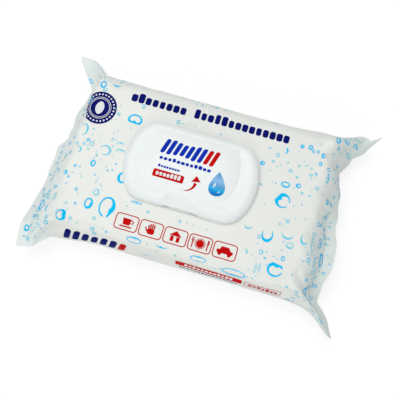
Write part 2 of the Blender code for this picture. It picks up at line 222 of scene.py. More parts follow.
LAYER_HEIGHT = (BODY_HEIGHT - FIN_THICKNESS) / 2
RIDGE = BODY_LENGTH / 2
FLANGE_BOTTOM = BODY_HEIGHT + GAP + GLUE + GAP
FLANGE_TOP = FLANGE_BOTTOM + FLANGE
COLLAR_TOP = FLANGE_TOP + COLLAR_HEIGHT
SKIRT_BOTTOM = BODY_HEIGHT + RUNNING_GAP / 4
SKIRT_TOP = BODY_HEIGHT + SKIRT_HEIGHT
LID_TOP = BODY_HEIGHT + LID_HEIGHT
LID_BACK = LID_CENTRE[1] + LID_DEPTH / 2
LID_FRONT = LID_CENTRE[1] - LID_DEPTH / 2
PANEL_TOP = LID_TOP - VALLEY_DEPTH + PANEL_STEP


# Materials

class Socket:
    """An output of a node that takes part in Python sums, each of which adds its Math node."""

    def __init__(self, nodes, output):
        self.nodes = nodes
        self.output = output

    def __add__(self, other):
        return self.nodes.sum("ADD", self, other)

    def __radd__(self, other):
        return self.nodes.sum("ADD", other, self)

    def __sub__(self, other):
        return self.nodes.sum("SUBTRACT", self, other)

    def __rsub__(self, other):
        return self.nodes.sum("SUBTRACT", other, self)

    def __mul__(self, other):
        return self.nodes.sum("MULTIPLY", self, other)

    def __rmul__(self, other):
        return self.nodes.sum("MULTIPLY", other, self)

    def __pow__(self, other):
        return self.nodes.sum("POWER", self, other)


class Nodes:
    """The nodes of a material or a room, made as its formula is written."""

    def __init__(self, tree):
        self.tree = tree

    def plug(self, target, value):
        """Set an input to a value, or link it to a socket."""
        if isinstance(value, Socket):
            self.tree.links.new(value.output, target)
        else:
            target.default_value = value

    def node(self, kind, settings=None, sockets=None, output=0):
        """Add a node: its settings first, then its inputs, and give one of its outputs."""
        made = self.tree.nodes.new(kind)
        for name, value in (settings or {}).items():
            if name == "stops":
                set_stops(made.color_ramp, value)
            else:
                setattr(made, name, value)
        for name, value in (sockets or {}).items():
            self.plug(made.inputs[name], value)
        return Socket(self, made.outputs[output])

    def sum(self, operation, left, right):
        """One sum on two numbers or sockets."""
        return self.node("ShaderNodeMath", {"operation": operation}, {0: left, 1: right})


class Finish(Nodes):
    """One material, with its shader's constants."""

    def __init__(self, name, **constants):
        self.material = bpy.data.materials.new(name)
        self.material.use_nodes = True
        super().__init__(self.material.node_tree)
        self.shader = self.tree.nodes["Principled BSDF"]
        for socket, value in constants.items():
            self.set(socket.replace("_", " "), value)

    def mix(self, share, first, second):
        """A colour between two colours."""
        return self.node("ShaderNodeMix", {"data_type": "RGBA"}, {0: share, 6: first, 7: second}, 2)

    def place(self):
        """Where a point lies on the piece, in metres."""
        return self.node("ShaderNodeTexCoord", output=3)

    def stretched(self, scale):
        """Where a point lies, scaled by its own amount along each axis."""
        return self.node("ShaderNodeMapping", None, {"Vector": self.place(), "Scale": scale})

    def noise(self, where, scale, detail=2.0):
        """Soft blotches from 0 to 1."""
        return self.node("ShaderNodeTexNoise", None, {"Vector": where, "Scale": scale, "Detail": detail})

    def crinkle(self):
        """The fine crinkle of the film, from 0 to 1."""
        return self.noise(self.stretched((1.0, 1.6, 1.0)), 120.0, 4.0)

    def ramp(self, value, stops):
        """A colour picked from stops by a value."""
        return self.node("ShaderNodeValToRGB", {"stops": stops}, {"Fac": value})

    def relief(self, height, distance, strength=1.0):
        """Let a height from 0 to 1 shape the light on the surface."""
        bump = self.node("ShaderNodeBump", None,
                         {"Height": height, "Distance": distance, "Strength": strength})
        self.set("Normal", bump)

    def set(self, name, value):
        """Feed one of the shader's inputs."""
        self.plug(self.shader.inputs[name], value)


def set_stops(ramp, stops):
    """Give a colour ramp its stops, each a position and a colour."""
    for _ in range(len(stops) - 2):
        ramp.elements.new(0.5)
    for element, (position, colour) in zip(ramp.elements, stops):
        element.position = position
        element.color = colour


def grey(level):
    """A grey of one level."""
    return (level, level, level, 1.0)


def film_finish():
    """White printed film: satin, a little uneven, with painted shade towards its ends (cool at the left,
    darker at the right), and a fine crinkle.
    """
    finish = Finish("crinkled_white_film", Coat_Weight=0.12, Coat_Roughness=0.25, IOR=1.42)
    where = finish.place()
    blotch = finish.noise(where, 26.0, 3.0)
    along = finish.node("ShaderNodeSeparateXYZ", None, {"Vector": where})
    body = (0.790, 0.802, 0.764, 1.0)
    # Painted shade of the end slopes: cool cyan-grey towards the left end, darker grey-green towards the
    # right end
    painted_end_shade = finish.ramp(along * 4.0 + 0.5, [(0.005, (0.78, 0.815, 0.79, 1.0)),
                                           (0.045, (0.74, 0.852, 0.845, 1.0)), (0.12, body),
                                           (0.885, body), (0.96, (0.70, 0.772, 0.752, 1.0))])
    finish.set("Base Color", finish.mix(blotch * 0.35, painted_end_shade, (0.94, 0.945, 0.92, 1.0)))
    finish.set("Roughness", 0.30 + finish.noise(where, 60.0) * 0.22)
    crinkle = finish.crinkle()
    waves = finish.noise(finish.stretched((0.6, 1.0, 1.0)), 45.0, 2.0)
    finish.relief(crinkle * 0.35 + waves * 0.65, 0.0006, 0.45)
    return finish.material


def ink_finish(name, colour, gloss=0.35):
    """Printed ink: one colour with the faint mottle of a gravure print."""
    finish = Finish(name, Specular_IOR_Level=0.03)
    where = finish.place()
    mottle = finish.noise(where, 900.0, 2.0)
    darker = tuple(channel * 0.93 for channel in colour) + (1.0,)
    finish.set("Base Color", finish.mix(mottle, darker, (*colour, 1.0)))
    finish.set("Roughness", gloss + finish.noise(where, 70.0) * 0.15)
    finish.relief(finish.crinkle(), 0.0003, 0.4)
    return finish.material


def moulded_finish(name, low, high, roughness):
    """Moulded polypropylene: near white, a little translucent, with the fine grain of its mould."""
    finish = Finish(name, Subsurface_Weight=0.12, Subsurface_Scale=0.004, IOR=1.49)
    where = finish.place()
    finish.set("Base Color", finish.mix(finish.noise(where, 30.0), (*low, 1.0), (*high, 1.0)))
    finish.set("Roughness", roughness + finish.noise(where, 90.0) * 0.12)
    grain = finish.noise(where, 1400.0, 2.0)
    flow = finish.noise(where, 30.0, 2.0)
    finish.relief(grain * 0.2 + flow * 0.8, 0.0003, 0.2)
    return finish.material


def fleece_finish():
    """Moist nonwoven wipe: soft fibres pressed with a grid of small dots."""
    finish = Finish("embossed_fleece", Sheen_Weight=0.3, Sheen_Roughness=0.5)
    where = finish.place()
    fibres = finish.noise(finish.stretched((1.0, 3.0, 1.0)), 700.0, 5.0)
    dots = finish.node("ShaderNodeTexVoronoi", {"feature": "F1"},
                       {"Vector": where, "Scale": 520.0, "Randomness": 0.1})
    finish.set("Base Color", finish.mix(fibres, (0.70, 0.74, 0.76, 1.0), (0.90, 0.92, 0.92, 1.0)))
    finish.set("Roughness", 0.62 + fibres * 0.25)
    finish.relief(dots * 1.6 + fibres * 0.5, 0.0008, 1.0)
    return finish.material


def adhesive_finish():
    """Hot glue under the frame: waxy and slightly yellow."""
    finish = Finish("waxy_adhesive", Subsurface_Weight=0.2, Subsurface_Scale=0.002)
    patches = finish.noise(finish.place(), 220.0, 3.0)
    finish.set("Base Color", finish.mix(patches, (0.72, 0.70, 0.60, 1.0), (0.84, 0.82, 0.74, 1.0)))
    finish.set("Roughness", 0.4 + patches * 0.2)
    finish.relief(patches, 0.0002, 0.5)
    return finish.material


def drop_finish(low_y, high_y):
    """The printed drop: deep blue at its foot, pale at its tip, with a lighter band between."""
    finish = Finish("shaded_drop_ink", Specular_IOR_Level=0.03)
    across = finish.node("ShaderNodeSeparateXYZ", None, {"Vector": finish.place()}, 1)
    share = (across - low_y) * (1 / (high_y - low_y))
    soft = share + (finish.noise(finish.place(), 260.0) - 0.5) * 0.10
    stops = [(0.0, (0.01, 0.16, 0.50, 1.0)), (0.12, (0.01, 0.24, 0.68, 1.0)),
             (0.27, (0.03, 0.48, 0.86, 1.0)), (0.36, (0.10, 0.34, 0.66, 1.0)),
             (0.62, (0.28, 0.53, 0.84, 1.0)), (1.0, (0.10, 0.30, 0.60, 1.0))]
    finish.set("Base Color", finish.ramp(soft, stops))
    finish.set("Roughness", 0.25 + finish.noise(finish.place(), 90.0) * 0.15)
    return finish.material


def floor_finish():
    """A white table, which stays white to the camera where no shadow falls on it."""
    finish = Finish("white_table", Specular_IOR_Level=0.1, Emission_Strength=0.74)
    seen = finish.node("ShaderNodeLightPath", output=0)
    lit = finish.mix(finish.noise(finish.place(), 3.0), grey(0.80), grey(0.84))
    finish.set("Base Color", finish.mix(seen, lit, grey(0.30)))
    finish.set("Emission Color", finish.mix(seen, grey(0.0), grey(1.0)))
    finish.set("Roughness", 0.8)
    return finish.material


# Meshes

def add_piece(name, mesh, material, body=None, replaced=(), smooth=None):
    """Link a mesh as a named piece that rides on a body and may stand for nodes of the model."""
    piece = bpy.data.objects.new(name, mesh)
    bpy.context.scene.collection.objects.link(piece)
    mesh.materials.append(material)
    if smooth is not None:
        mesh.shade_smooth()
        mesh.set_sharp_from_angle(angle=math.radians(smooth))
    if body is not None:
        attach(piece, body)
    if replaced:
        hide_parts(*replaced)
    return piece


def mesh_from_build(name, build):
    """Turn a finished bmesh into a mesh."""
    mesh = bpy.data.meshes.new(name)
    build.to_mesh(mesh)
    build.free()
    return mesh


def zipped_cap(build, row):
    """Close the end of a flattened tube, from its over layer to its under layer."""
    count = len(row)
    for place in range(count // 2 - 1):
        build.faces.new((row[place], row[place + 1], row[count - 2 - place], row[count - 1 - place]))


def flat_cap(build, row):
    """Close a flat ring with one face."""
    build.faces.new(row)


def mesh_from_rings(name, rings, cap=None, loop=False):
    """Join rings of points into a skin, closed at both ends by a cap or into a loop."""
    count = len(rings[0])
    build = bmesh.new()
    rows = [[build.verts.new(point) for point in ring] for ring in rings]
    pairs = list(zip(rows, rows[1:])) + ([(rows[-1], rows[0])] if loop else [])
    for row, following in pairs:
        for place in range(count):
            after = (place + 1) % count
            build.faces.new((row[place], row[after], following[after], following[place]))
    if cap is not None:
        cap(build, rows[0])
        cap(build, rows[-1])
    bmesh.ops.recalc_face_normals(build, faces=build.faces[:])
    return mesh_from_build(name, build)


def smooth_step(value):
    """0 below 0, 1 above 1, and a smooth rise between them."""
    value = np.clip(value, 0, 1)
    return value * value * (3 - 2 * value)


# Film surface

def film_turn(share):
    """Turn of the film from level to upright along the rounded side, as a share of a right angle."""
    return SHOULDER_TURN * smooth_step(share / SHOULDER_REACH) + (1 - SHOULDER_TURN) * share


def running_total(values, spacing):
    """Trapezium sums of values along the last axis."""
    total = np.cumsum((values[..., 1:] + values[..., :-1]) / 2, axis=-1) * spacing
    return np.concatenate([np.zeros_like(total[..., :1]), total], axis=-1)


SIDE_SHARES = np.linspace(0, 1, TURN_SAMPLES)
SIDE_TURNS = np.linspace(0, 1, FULLNESS_SAMPLES)[:, None] * film_turn(SIDE_SHARES) * math.pi / 2
SIDE_OUT = running_total(np.cos(SIDE_TURNS), SIDE_SHARES[1])
SIDE_FALL = running_total(np.sin(SIDE_TURNS), SIDE_SHARES[1])
SIDE_GIRTH = LAYER_HEIGHT / SIDE_FALL[-1, -1]
HALF_GIRTH = FLAT_WIDTH / 2 + SIDE_GIRTH


def look_up(table, fullness, share):
    """Read a table of side shapes between its samples."""
    row = np.clip(fullness, 0, 1) * (FULLNESS_SAMPLES - 1)
    column = np.clip(share, 0, 1) * (TURN_SAMPLES - 1)
    top = np.minimum(row.astype(int), FULLNESS_SAMPLES - 2)
    left = np.minimum(column.astype(int), TURN_SAMPLES - 2)
    down = row - top
    right = column - left
    upper = table[top, left] * (1 - right) + table[top, left + 1] * right
    lower = table[top + 1, left] * (1 - right) + table[top + 1, left + 1] * right
    return upper * (1 - down) + lower * down


def film_run(end, corner, girth):
    """How far the film runs out from the ridge to the seal, from the middle line to an ear's tip."""
    ear = np.clip((girth - corner.ear_start) / (1 - corner.ear_start), 0, 1)
    pinch = corner.pinch * smooth_step(2 * girth / corner.ear_start - 1)
    middle = end.middle_run + corner.lean * girth - pinch
    return middle * (1 - ear) + corner.ear_run * ear


def fin_droop(corner, girth):
    """How steeply the fin hangs along the girth, in radians."""
    tip = smooth_step((girth - DROOP_END) / (1 - DROOP_END))
    beside = smooth_step(girth / DROOP_START) * (1 - tip)
    return np.radians(corner.droop * beside + corner.tip_droop * tip)


# How steeply the fin hangs, in degrees, at even steps of the girth from the front ear's tip to the back's
LEFT_HANG = (0, 12, 40, 50, 48, 46, 52, 60, 55, 30, 0)
RIGHT_HANG = (62, 46, 20, 0, 0, 20, 62, 76, 66, 44, 10)


def seen_hang(end, signed_girth):
    """How steeply the fin is seen to hang along the girth, in radians."""
    degrees = LEFT_HANG if end.side < 0 else RIGHT_HANG
    place = np.clip((signed_girth + 1) * 5, 0, 9.9999)
    left = place.astype(int)
    share = smooth_step(place - left)
    table = np.array(degrees, float)
    return np.radians(table[left] * (1 - share) + table[left + 1] * share)


def quarter_place(end, corner, hand, along, across, layer):
    """Places on one quarter of a layer, from lengths of film along it and across it, both from 0 up."""
    slope = np.clip((along - RIDGE) / SLOPE_LENGTH, 0, 1)
    fin = np.clip((along - RIDGE - SLOPE_LENGTH) / end.fin_width, 0, 1)
    girth = across / HALF_GIRTH
    square = girth * girth
    side = (across - FLAT_WIDTH / 2) / SIDE_GIRTH
    full = 1 - slope ** (1 + corner.hold * square)
    fall = look_up(SIDE_FALL, full, np.ones_like(side)) - look_up(SIDE_FALL, full, side)
    distance = np.minimum(across, FLAT_WIDTH / 2) + SIDE_GIRTH * look_up(SIDE_OUT, full, side)
    swell = smooth_step((along - SWELL_START) / (RIDGE - SWELL_START)) * (1 - slope)
    tucked = smooth_step((girth - TUCK_START) / (1 - TUCK_START)) * slope ** 1.5 * (1 - fin)
    distance = distance + corner.swell * square * square * swell - corner.tuck * tucked
    hang = seen_hang(end, hand * girth)
    edge_run = film_run(end, corner, girth) + end.fin_width * np.cos(fin_droop(corner, girth))
    run = edge_run - end.fin_width * np.cos(hang)
    on_body = np.minimum(along, RIDGE)
    ridge = on_body - end.ridge_bulge * square * (on_body / RIDGE) ** 8
    pace = slope ** (1 - corner.lead * square)
    out = ridge + run * pace + end.fin_width * fin * np.cos(hang)
    height = SIDE_GIRTH * fall + FIN_THICKNESS / 2
    lift = BODY_HEIGHT / 2 - end.fin_width * fin * np.sin(hang)
    place = (end.side * out, hand * distance + end.seal_shift * slope, lift + layer * height)
    return np.stack(place, -1)


def smooth_place(along, across, layer):
    """Places on the smooth film of a layer, from signed lengths of film."""
    along = np.asarray(along, float)
    across = np.asarray(across, float)
    places = np.zeros(along.shape + (3,))
    for end in (LEFT_END, RIGHT_END):
        for corner, hand in ((end.front, -1), (end.back, 1)):
            here = (np.where(along < 0, -1, 1) == end.side) & (np.where(across < 0, -1, 1) == hand)
            lengths = np.abs(along[here]), np.abs(across[here])
            places[here] = quarter_place(end, corner, hand, *lengths, layer)
    return places


def rounded_place(along, across, layer):
    """Places on the smooth film with its ridges rounded off, most of all at the right front."""
    along = np.asarray(along, float)
    across = np.asarray(across, float)
    slant = RIGHT_ROUNDING_SLANT * np.clip(across / HALF_GIRTH, -1, 1)
    width = np.where(along > 0, RIGHT_ROUNDING - slant, LEFT_ROUNDING)
    reach = width * np.exp(-((np.abs(along) - RIDGE) / (1.5 * width)) ** 2)
    total = 0
    for share in ROUNDING_SHARES:
        total = total + smooth_place(along + share * reach, across, layer)
    return total / len(ROUNDING_SHARES)


# How far the seal's edge stands out past its even line, in mm: where along the girth, how wide, how far
LEFT_EDGE = ((-56, 8, 0.6), (-38, 9, 1.7), (-20, 6, 0.6), (4, 7, 2.4), (18, 6, 1.4), (36, 11, 2.4))
RIGHT_EDGE = ((63, 3, -2.0), (71, 3, 1.2), (44, 6, 0.8), (20, 6, -0.8), (-14, 9, 2.2), (-44, 6, -0.9))


@dataclass
class Crease:
    """A soft fold of a layer: where it starts and ends on the film, its half width, and its height."""
    start: tuple
    finish: tuple
    width: float
    height: float


# Lengths of film in mm, from the middle of the top face: along the pack, then across it
CREASES = (
    Crease((-92, -57), (-124, -80), 2.8, 2.0),
    Crease((-84, -64), (-114, -84), 4.0, -1.6),
    Crease((-100, -40), (-124, -58), 4.0, -0.9),
    Crease((-101, -22), (-126, -30), 4.0, 0.6),
    Crease((-101, -4), (-126, -12), 4.5, -0.9),
    Crease((-100, 12), (-127, 20), 3.5, 0.9),
    Crease((-101, 26), (-127, 34), 3.5, -1.2),
    Crease((-102, 44), (-127, 60), 3.5, 0.9),
    Crease((-100, 56), (-126, 74), 3.0, -1.2),
    Crease((-72, -62), (-50, -70), 4.5, -0.7),
    Crease((-84, 60), (-60, 70), 4.5, -0.8),
    Crease((101, 48), (125, 58), 3.0, -1.8),
    Crease((102, 60), (122, 76), 5.0, 2.0),
    Crease((124, 52), (126, 84), 1.8, -1.0),
    Crease((101, 32), (127, 40), 3.5, 0.8),
    Crease((102, 18), (127, 20), 3.5, -1.0),
    Crease((101, -2), (127, -8), 4.0, 0.7),
    Crease((101, -18), (127, -24), 3.5, -1.2),
    Crease((100, -34), (127, -42), 4.0, 0.8),
    Crease((101, -50), (127, -66), 3.0, -1.6),
    Crease((98, -57), (126, -80), 2.6, 1.1),
    Crease((90, -62), (112, -80), 3.5, -0.9),
    Crease((64, -66), (84, -76), 4.5, 0.5),
    Crease((86, 62), (106, 76), 3.5, -0.8),
    Crease((-50, 60), (30, 62), 9.0, -1.3),
    Crease((-20, -74), (40, -77), 6.0, -0.5),
    Crease((125, 84), (125, -84), 2.0, -0.8),
)


def crease_height(along, across):
    """Height of all the creases of the top layer at lengths of film."""
    height = np.zeros_like(along)
    for crease in CREASES:
        start = np.array(crease.start) * MM
        run = np.array(crease.finish) * MM - start
        share = ((along - start[0]) * run[0] + (across - start[1]) * run[1]) / (run @ run)
        share = np.clip(share, 0, 1)
        away = np.hypot(along - start[0] - share * run[0], across - start[1] - share * run[1])
        height += crease.height * MM * np.exp(-(away / (crease.width * MM)) ** 2)
    return height


def rumple(along, across, size, height, seed):
    """Uneven waves of about one size, up and down by about a height."""
    chance = np.random.default_rng(seed)
    total = np.zeros_like(along)
    for _ in range(7):
        angle = chance.uniform(0, math.pi)
        pitch = size * chance.uniform(0.7, 1.5)
        phase = chance.uniform(0, 2 * math.pi)
        way = along * math.cos(angle) + across * math.sin(angle)
        total += np.sin(way * 2 * math.pi / pitch + phase)
    return total / 4 * height


def under_lid(along, across):
    """1 where the frame is glued to the film, which keeps it flat, and 0 well away from it."""
    x = np.abs(along - LID_CENTRE[0]) / (LID_LENGTH / 2 + 0.004)
    y = np.abs(across - LID_CENTRE[1]) / (LID_DEPTH / 2 + 0.004)
    return 1 - smooth_step(((x ** 4 + y ** 4) ** 0.25 - 1) * 4)


def film_rise(along, across, layer):
    """How far the film stands off its smooth shape."""
    reach = np.abs(along)
    girth = np.abs(across) / HALF_GIRTH
    slope = np.clip((reach - RIDGE) / SLOPE_LENGTH, 0, 1)
    full = 1 - smooth_step((slope - FLAT_START) / (1 - FLAT_START))
    gather = smooth_step((reach - RIDGE * 0.93) / 0.02)
    side = smooth_step((girth - SIDE_START) / 0.15)
    round_way = np.where(layer > 0, across, np.sign(across) * 2 * HALF_GIRTH - across)
    gathered_side = np.maximum(gather, side * 0.35)
    rise = rumple(along, round_way, size=0.034, height=0.00018, seed=3) * side
    rise += rumple(along, round_way * 1.8, size=0.013, height=0.00022, seed=5) * gathered_side
    rise += rumple(along * 0.35, round_way, size=0.009, height=0.00026, seed=8) * gather
    if layer > 0:
        rise += crease_height(along, across)
        rise += rumple(along, across, size=0.06, height=0.00016, seed=11)
    lying = 1 if layer > 0 else smooth_step((girth - SIDE_START) / 0.12)
    return rise * full * (1 - under_lid(along, across) * (layer > 0)) * lying


def film_flutter(along, across):
    """How far the seal waves up and down, with both of its layers."""
    reach = np.abs(along)
    slope = np.clip((reach - RIDGE) / SLOPE_LENGTH, 0, 1)
    fin = np.clip((reach - RIDGE - SLOPE_LENGTH) / LEFT_END.fin_width, 0, 1)
    waves = rumple(along * 0.3, across, size=0.034, height=0.0008, seed=21)
    waves += rumple(along * 0.5, across, size=0.012, height=0.0004, seed=22)
    ribs = np.sin(fin * 2 * math.pi * RIB_COUNT) * RIB_HEIGHT * smooth_step(fin * 8)
    curl = rumple(along * 0.2, across, size=0.052, height=0.0014, seed=23) * fin
    return waves * smooth_step(slope * 1.6 - 0.6) + ribs + curl


def ragged_edge(along, across):
    """How far the slope and the seal run out past their even line, except at the ears' tips."""
    start = RIDGE + SLOPE_LENGTH * EDGE_WAVE_START
    run = SLOPE_LENGTH * (1 - EDGE_WAVE_START) + LEFT_END.fin_width
    share = np.clip((np.abs(along) - start) / run, 0, 1)
    inner = 1 - smooth_step((np.abs(across) / HALF_GIRTH - 0.76) / 0.2)
    waves = rumple(along * 0.2, across, size=0.046, height=0.0008, seed=24)
    waves += rumple(along * 0.2, across, size=0.014, height=0.0002, seed=25)
    for table, side in ((LEFT_EDGE, along < 0), (RIGHT_EDGE, along > 0)):
        for middle, width, stand in table:
            waves = waves + side * stand * MM * np.exp(-((across / MM - middle) / width) ** 2)
    return waves * inner * share


def film_place(along, across, layer, lift=0.0):
    """Places on the crumpled film, or a lift above it."""
    along = np.asarray(along, float)
    across = np.clip(np.asarray(across, float), -HALF_GIRTH, HALF_GIRTH)
    along_sign = np.where(along < 0, -1.0, 1.0)
    across_sign = np.where(across < 0, -1.0, 1.0)
    place = rounded_place(along, across, layer)
    nearer = rounded_place(along - along_sign * NORMAL_STEP, across, layer)
    inward = rounded_place(along, across - across_sign * NORMAL_STEP, layer)
    long_way = (place - nearer) * along_sign[..., None]
    round_way = (place - inward) * across_sign[..., None]
    normal = np.cross(long_way, round_way) * layer
    normal /= np.maximum(np.linalg.norm(normal, axis=-1, keepdims=True), 1e-12)
    place = place + normal * (film_rise(along, across, layer) + lift)[..., None]
    place[..., 0] += ragged_edge(along, across) * along_sign
    place[..., 2] += film_flutter(along, across)
    return place


def film_stations():
    """Lengths along the film of the pouch's rings, from the left fin to the right fin."""
    body = np.linspace(-RIDGE, RIDGE, round(BODY_LENGTH / BODY_CELL) + 1)
    slope = RIDGE + SLOPE_LENGTH * np.linspace(0, 1, SLOPE_RINGS + 1)[1:]
    fin = np.linspace(0, 1, FIN_RINGS + 1)[1:]
    left_fin = RIDGE + SLOPE_LENGTH + LEFT_END.fin_width * fin
    right_fin = RIDGE + SLOPE_LENGTH + RIGHT_END.fin_width * fin
    return np.concatenate([-left_fin[::-1], -slope[::-1], body, slope, right_fin])


def film_widths():
    """Lengths across the film of the points of one layer, from front to back."""
    half = np.linspace(0, HALF_GIRTH, round(HALF_GIRTH / GIRTH_CELL) + 1)
    return np.concatenate([-half[:0:-1], half])


def build_pouch(material):
    """The film pouch, with the oval cut that the wipes come out of."""
    along, across = np.meshgrid(film_stations(), film_widths(), indexing="ij")
    over = film_place(along, across, 1)
    under = film_place(along, across, -1)
    under[..., 2] = np.maximum(under[..., 2], 0.0)
    rings = np.concatenate([over, under[:, ::-1]], axis=1)
    pouch = add_piece("crumpled_pouch", mesh_from_rings("crumpled_pouch", rings, zipped_cap), material,
                      "pack", ("film_pouch",), 50)
    outline = opening_outline(FILM_CUT_MARGIN)
    cutter_rings = [at_height(outline, BODY_HEIGHT - FILM_CUT_BELOW),
                    at_height(outline, BODY_HEIGHT + FILM_CUT_ABOVE)]
    cutter = bpy.data.objects.new("film_cut", mesh_from_rings("film_cut", cutter_rings, flat_cap))
    bpy.context.scene.collection.objects.link(cutter)
    cut = pouch.modifiers.new("film_cut", "BOOLEAN")
    cut.operation = "DIFFERENCE"
    cut.solver = "EXACT"
    cut.object = cutter
    bpy.context.view_layer.update()
    finished = bpy.data.meshes.new_from_object(pouch.evaluated_get(bpy.context.evaluated_depsgraph_get()))
    pouch.modifiers.clear()
    pouch.data = finished
    bpy.data.objects.remove(cutter)


# Print

class Print:
    """Shapes of one ink, laid on a surface. Their outlines are in mm on the flat."""

    def __init__(self, name, surface):
        self.name = name
        self.surface = surface
        self.build = bmesh.new()

    def band(self, outer, inner, closed=True):
        """Ink between two lines of as many points each."""
        first = [self.build.verts.new((x * MM, y * MM, 0)) for x, y in outer]
        second = [self.build.verts.new((x * MM, y * MM, 0)) for x, y in inner]
        count = len(first)
        for place in range(count if closed else count - 1):
            after = (place + 1) % count
            self.build.faces.new((first[place], first[after], second[after], second[place]))

    def fill(self, outline):
        """Ink all over an outline."""
        self.build.faces.new([self.build.verts.new((x * MM, y * MM, 0)) for x, y in outline])

    def piece(self, material, body):
        """Cut the shapes fine enough to bend with the surface, lay them on it, and make the piece."""
        if self.surface not in (panel_surface, over_panel_ink):
            tile(self.build)
        flat = np.array([tuple(point.co) for point in self.build.verts])
        for point, place in zip(self.build.verts, self.surface(flat[:, 0], flat[:, 1])):
            point.co = place
        self.build.normal_update()
        add_piece(self.name, mesh_from_build(self.name, self.build), material, body, smooth=60)


def tile(build):
    """Cut faces along a grid, so that none is much longer than a print cell."""
    flat = np.array([tuple(point.co) for point in build.verts])
    for axis in (0, 1):
        low = math.ceil(flat[:, axis].min() / PRINT_CELL)
        high = math.floor(flat[:, axis].max() / PRINT_CELL)
        normal = (1, 0, 0) if axis == 0 else (0, 1, 0)
        for place in range(low, high + 1):
            point = tuple(place * PRINT_CELL * part for part in normal)
            geometry = build.verts[:] + build.edges[:] + build.faces[:]
            bmesh.ops.bisect_plane(build, geom=geometry, dist=1e-7, plane_co=point, plane_no=normal)


def over_film(along, across):
    """The top layer, just over its film."""
    return film_place(along, across, 1, INK_LIFT)


def over_ink(along, across):
    """The top layer, just over a first ink."""
    return film_place(along, across, 1, SECOND_INK_LIFT)


def under_film(along, across):
    """The bottom layer, just outside its film."""
    return film_place(along, across, -1, INK_LIFT)


def panel_surface(x, y):
    """The lid's flat panel, in mm from the lid's middle."""
    return np.stack([x + LID_CENTRE[0], y + LID_CENTRE[1], x * 0 + PANEL_TOP + LID_INK_LIFT], -1)


def over_panel_ink(x, y):
    """The lid's flat panel, just over a first ink."""
    return panel_surface(x, y) + (0, 0, SECOND_LID_INK_LIFT)


def turned(points, degrees, centre):
    """Points turned about their own zero and moved to a centre."""
    angle = math.radians(degrees)
    turn = np.array([[math.cos(angle), math.sin(angle)], [-math.sin(angle), math.cos(angle)]])
    return np.asarray(points) @ turn + centre


def oval(centre, width, height, degrees=0.0, count=28):
    """An oval outline."""
    angle = np.arange(count) * 2 * math.pi / count
    points = np.stack([np.cos(angle) * width / 2, np.sin(angle) * height / 2], -1)
    return turned(points, degrees, centre)


def rounded_box(centre, width, height, radius, slant=0.0):
    """An outline of a box with round corners, leaning by a slant."""
    points = []
    for corner, (right, up) in enumerate(((1, 1), (-1, 1), (-1, -1), (1, -1))):
        for step in range(BOX_CORNER_STEPS + 1):
            angle = math.pi / 2 * (corner + step / BOX_CORNER_STEPS)
            x = right * (width / 2 - radius) + radius * math.cos(angle)
            y = up * (height / 2 - radius) + radius * math.sin(angle)
            points.append((x + slant * y, y))
    return np.array(points) + centre


@dataclass
class Drop:
    """A printed water drop: where it lies, its size, its heavy side in degrees, how wide its line is
    there and opposite, the stretch of its line that is drawn, and how flat its heavy side is."""
    centre: tuple
    width: float
    height: float
    heavy: float = 270
    thick: float = 1.2
    thin: float = 0.5
    start: float = 0
    sweep: float = 360
    flat: float = 0.0


def draw_drop(ink, drop):
    """Lay the line of a drop: an oval whose line swells on its heavy side."""
    closed = drop.sweep >= 360
    count = max(8, round(drop.sweep / 360 * (14 + 2 * max(drop.width, drop.height))))
    angle = np.radians(drop.start + drop.sweep * np.arange(count + (not closed)) / count)
    toward = np.cos(angle - math.radians(drop.heavy))
    line = drop.thin + (drop.thick - drop.thin) * np.clip(toward * 0.5 + 0.5, 0, 1) ** 2
    line = line * DROP_BOLDNESS
    if not closed:
        line = line * np.sin(np.linspace(0.06, math.pi - 0.06, len(angle))) ** 0.35
    shape = np.minimum(1, (1 - drop.flat) / np.maximum(toward, 0.01))
    outer = np.stack([np.cos(angle) * drop.width / 2, np.sin(angle) * drop.height / 2], -1) * shape[:, None]
    length = np.linalg.norm(outer, axis=1, keepdims=True)
    inner = outer * np.clip(1 - line[:, None] / length, 0.02, 1)
    ink.band(outer + drop.centre, inner + drop.centre, closed)


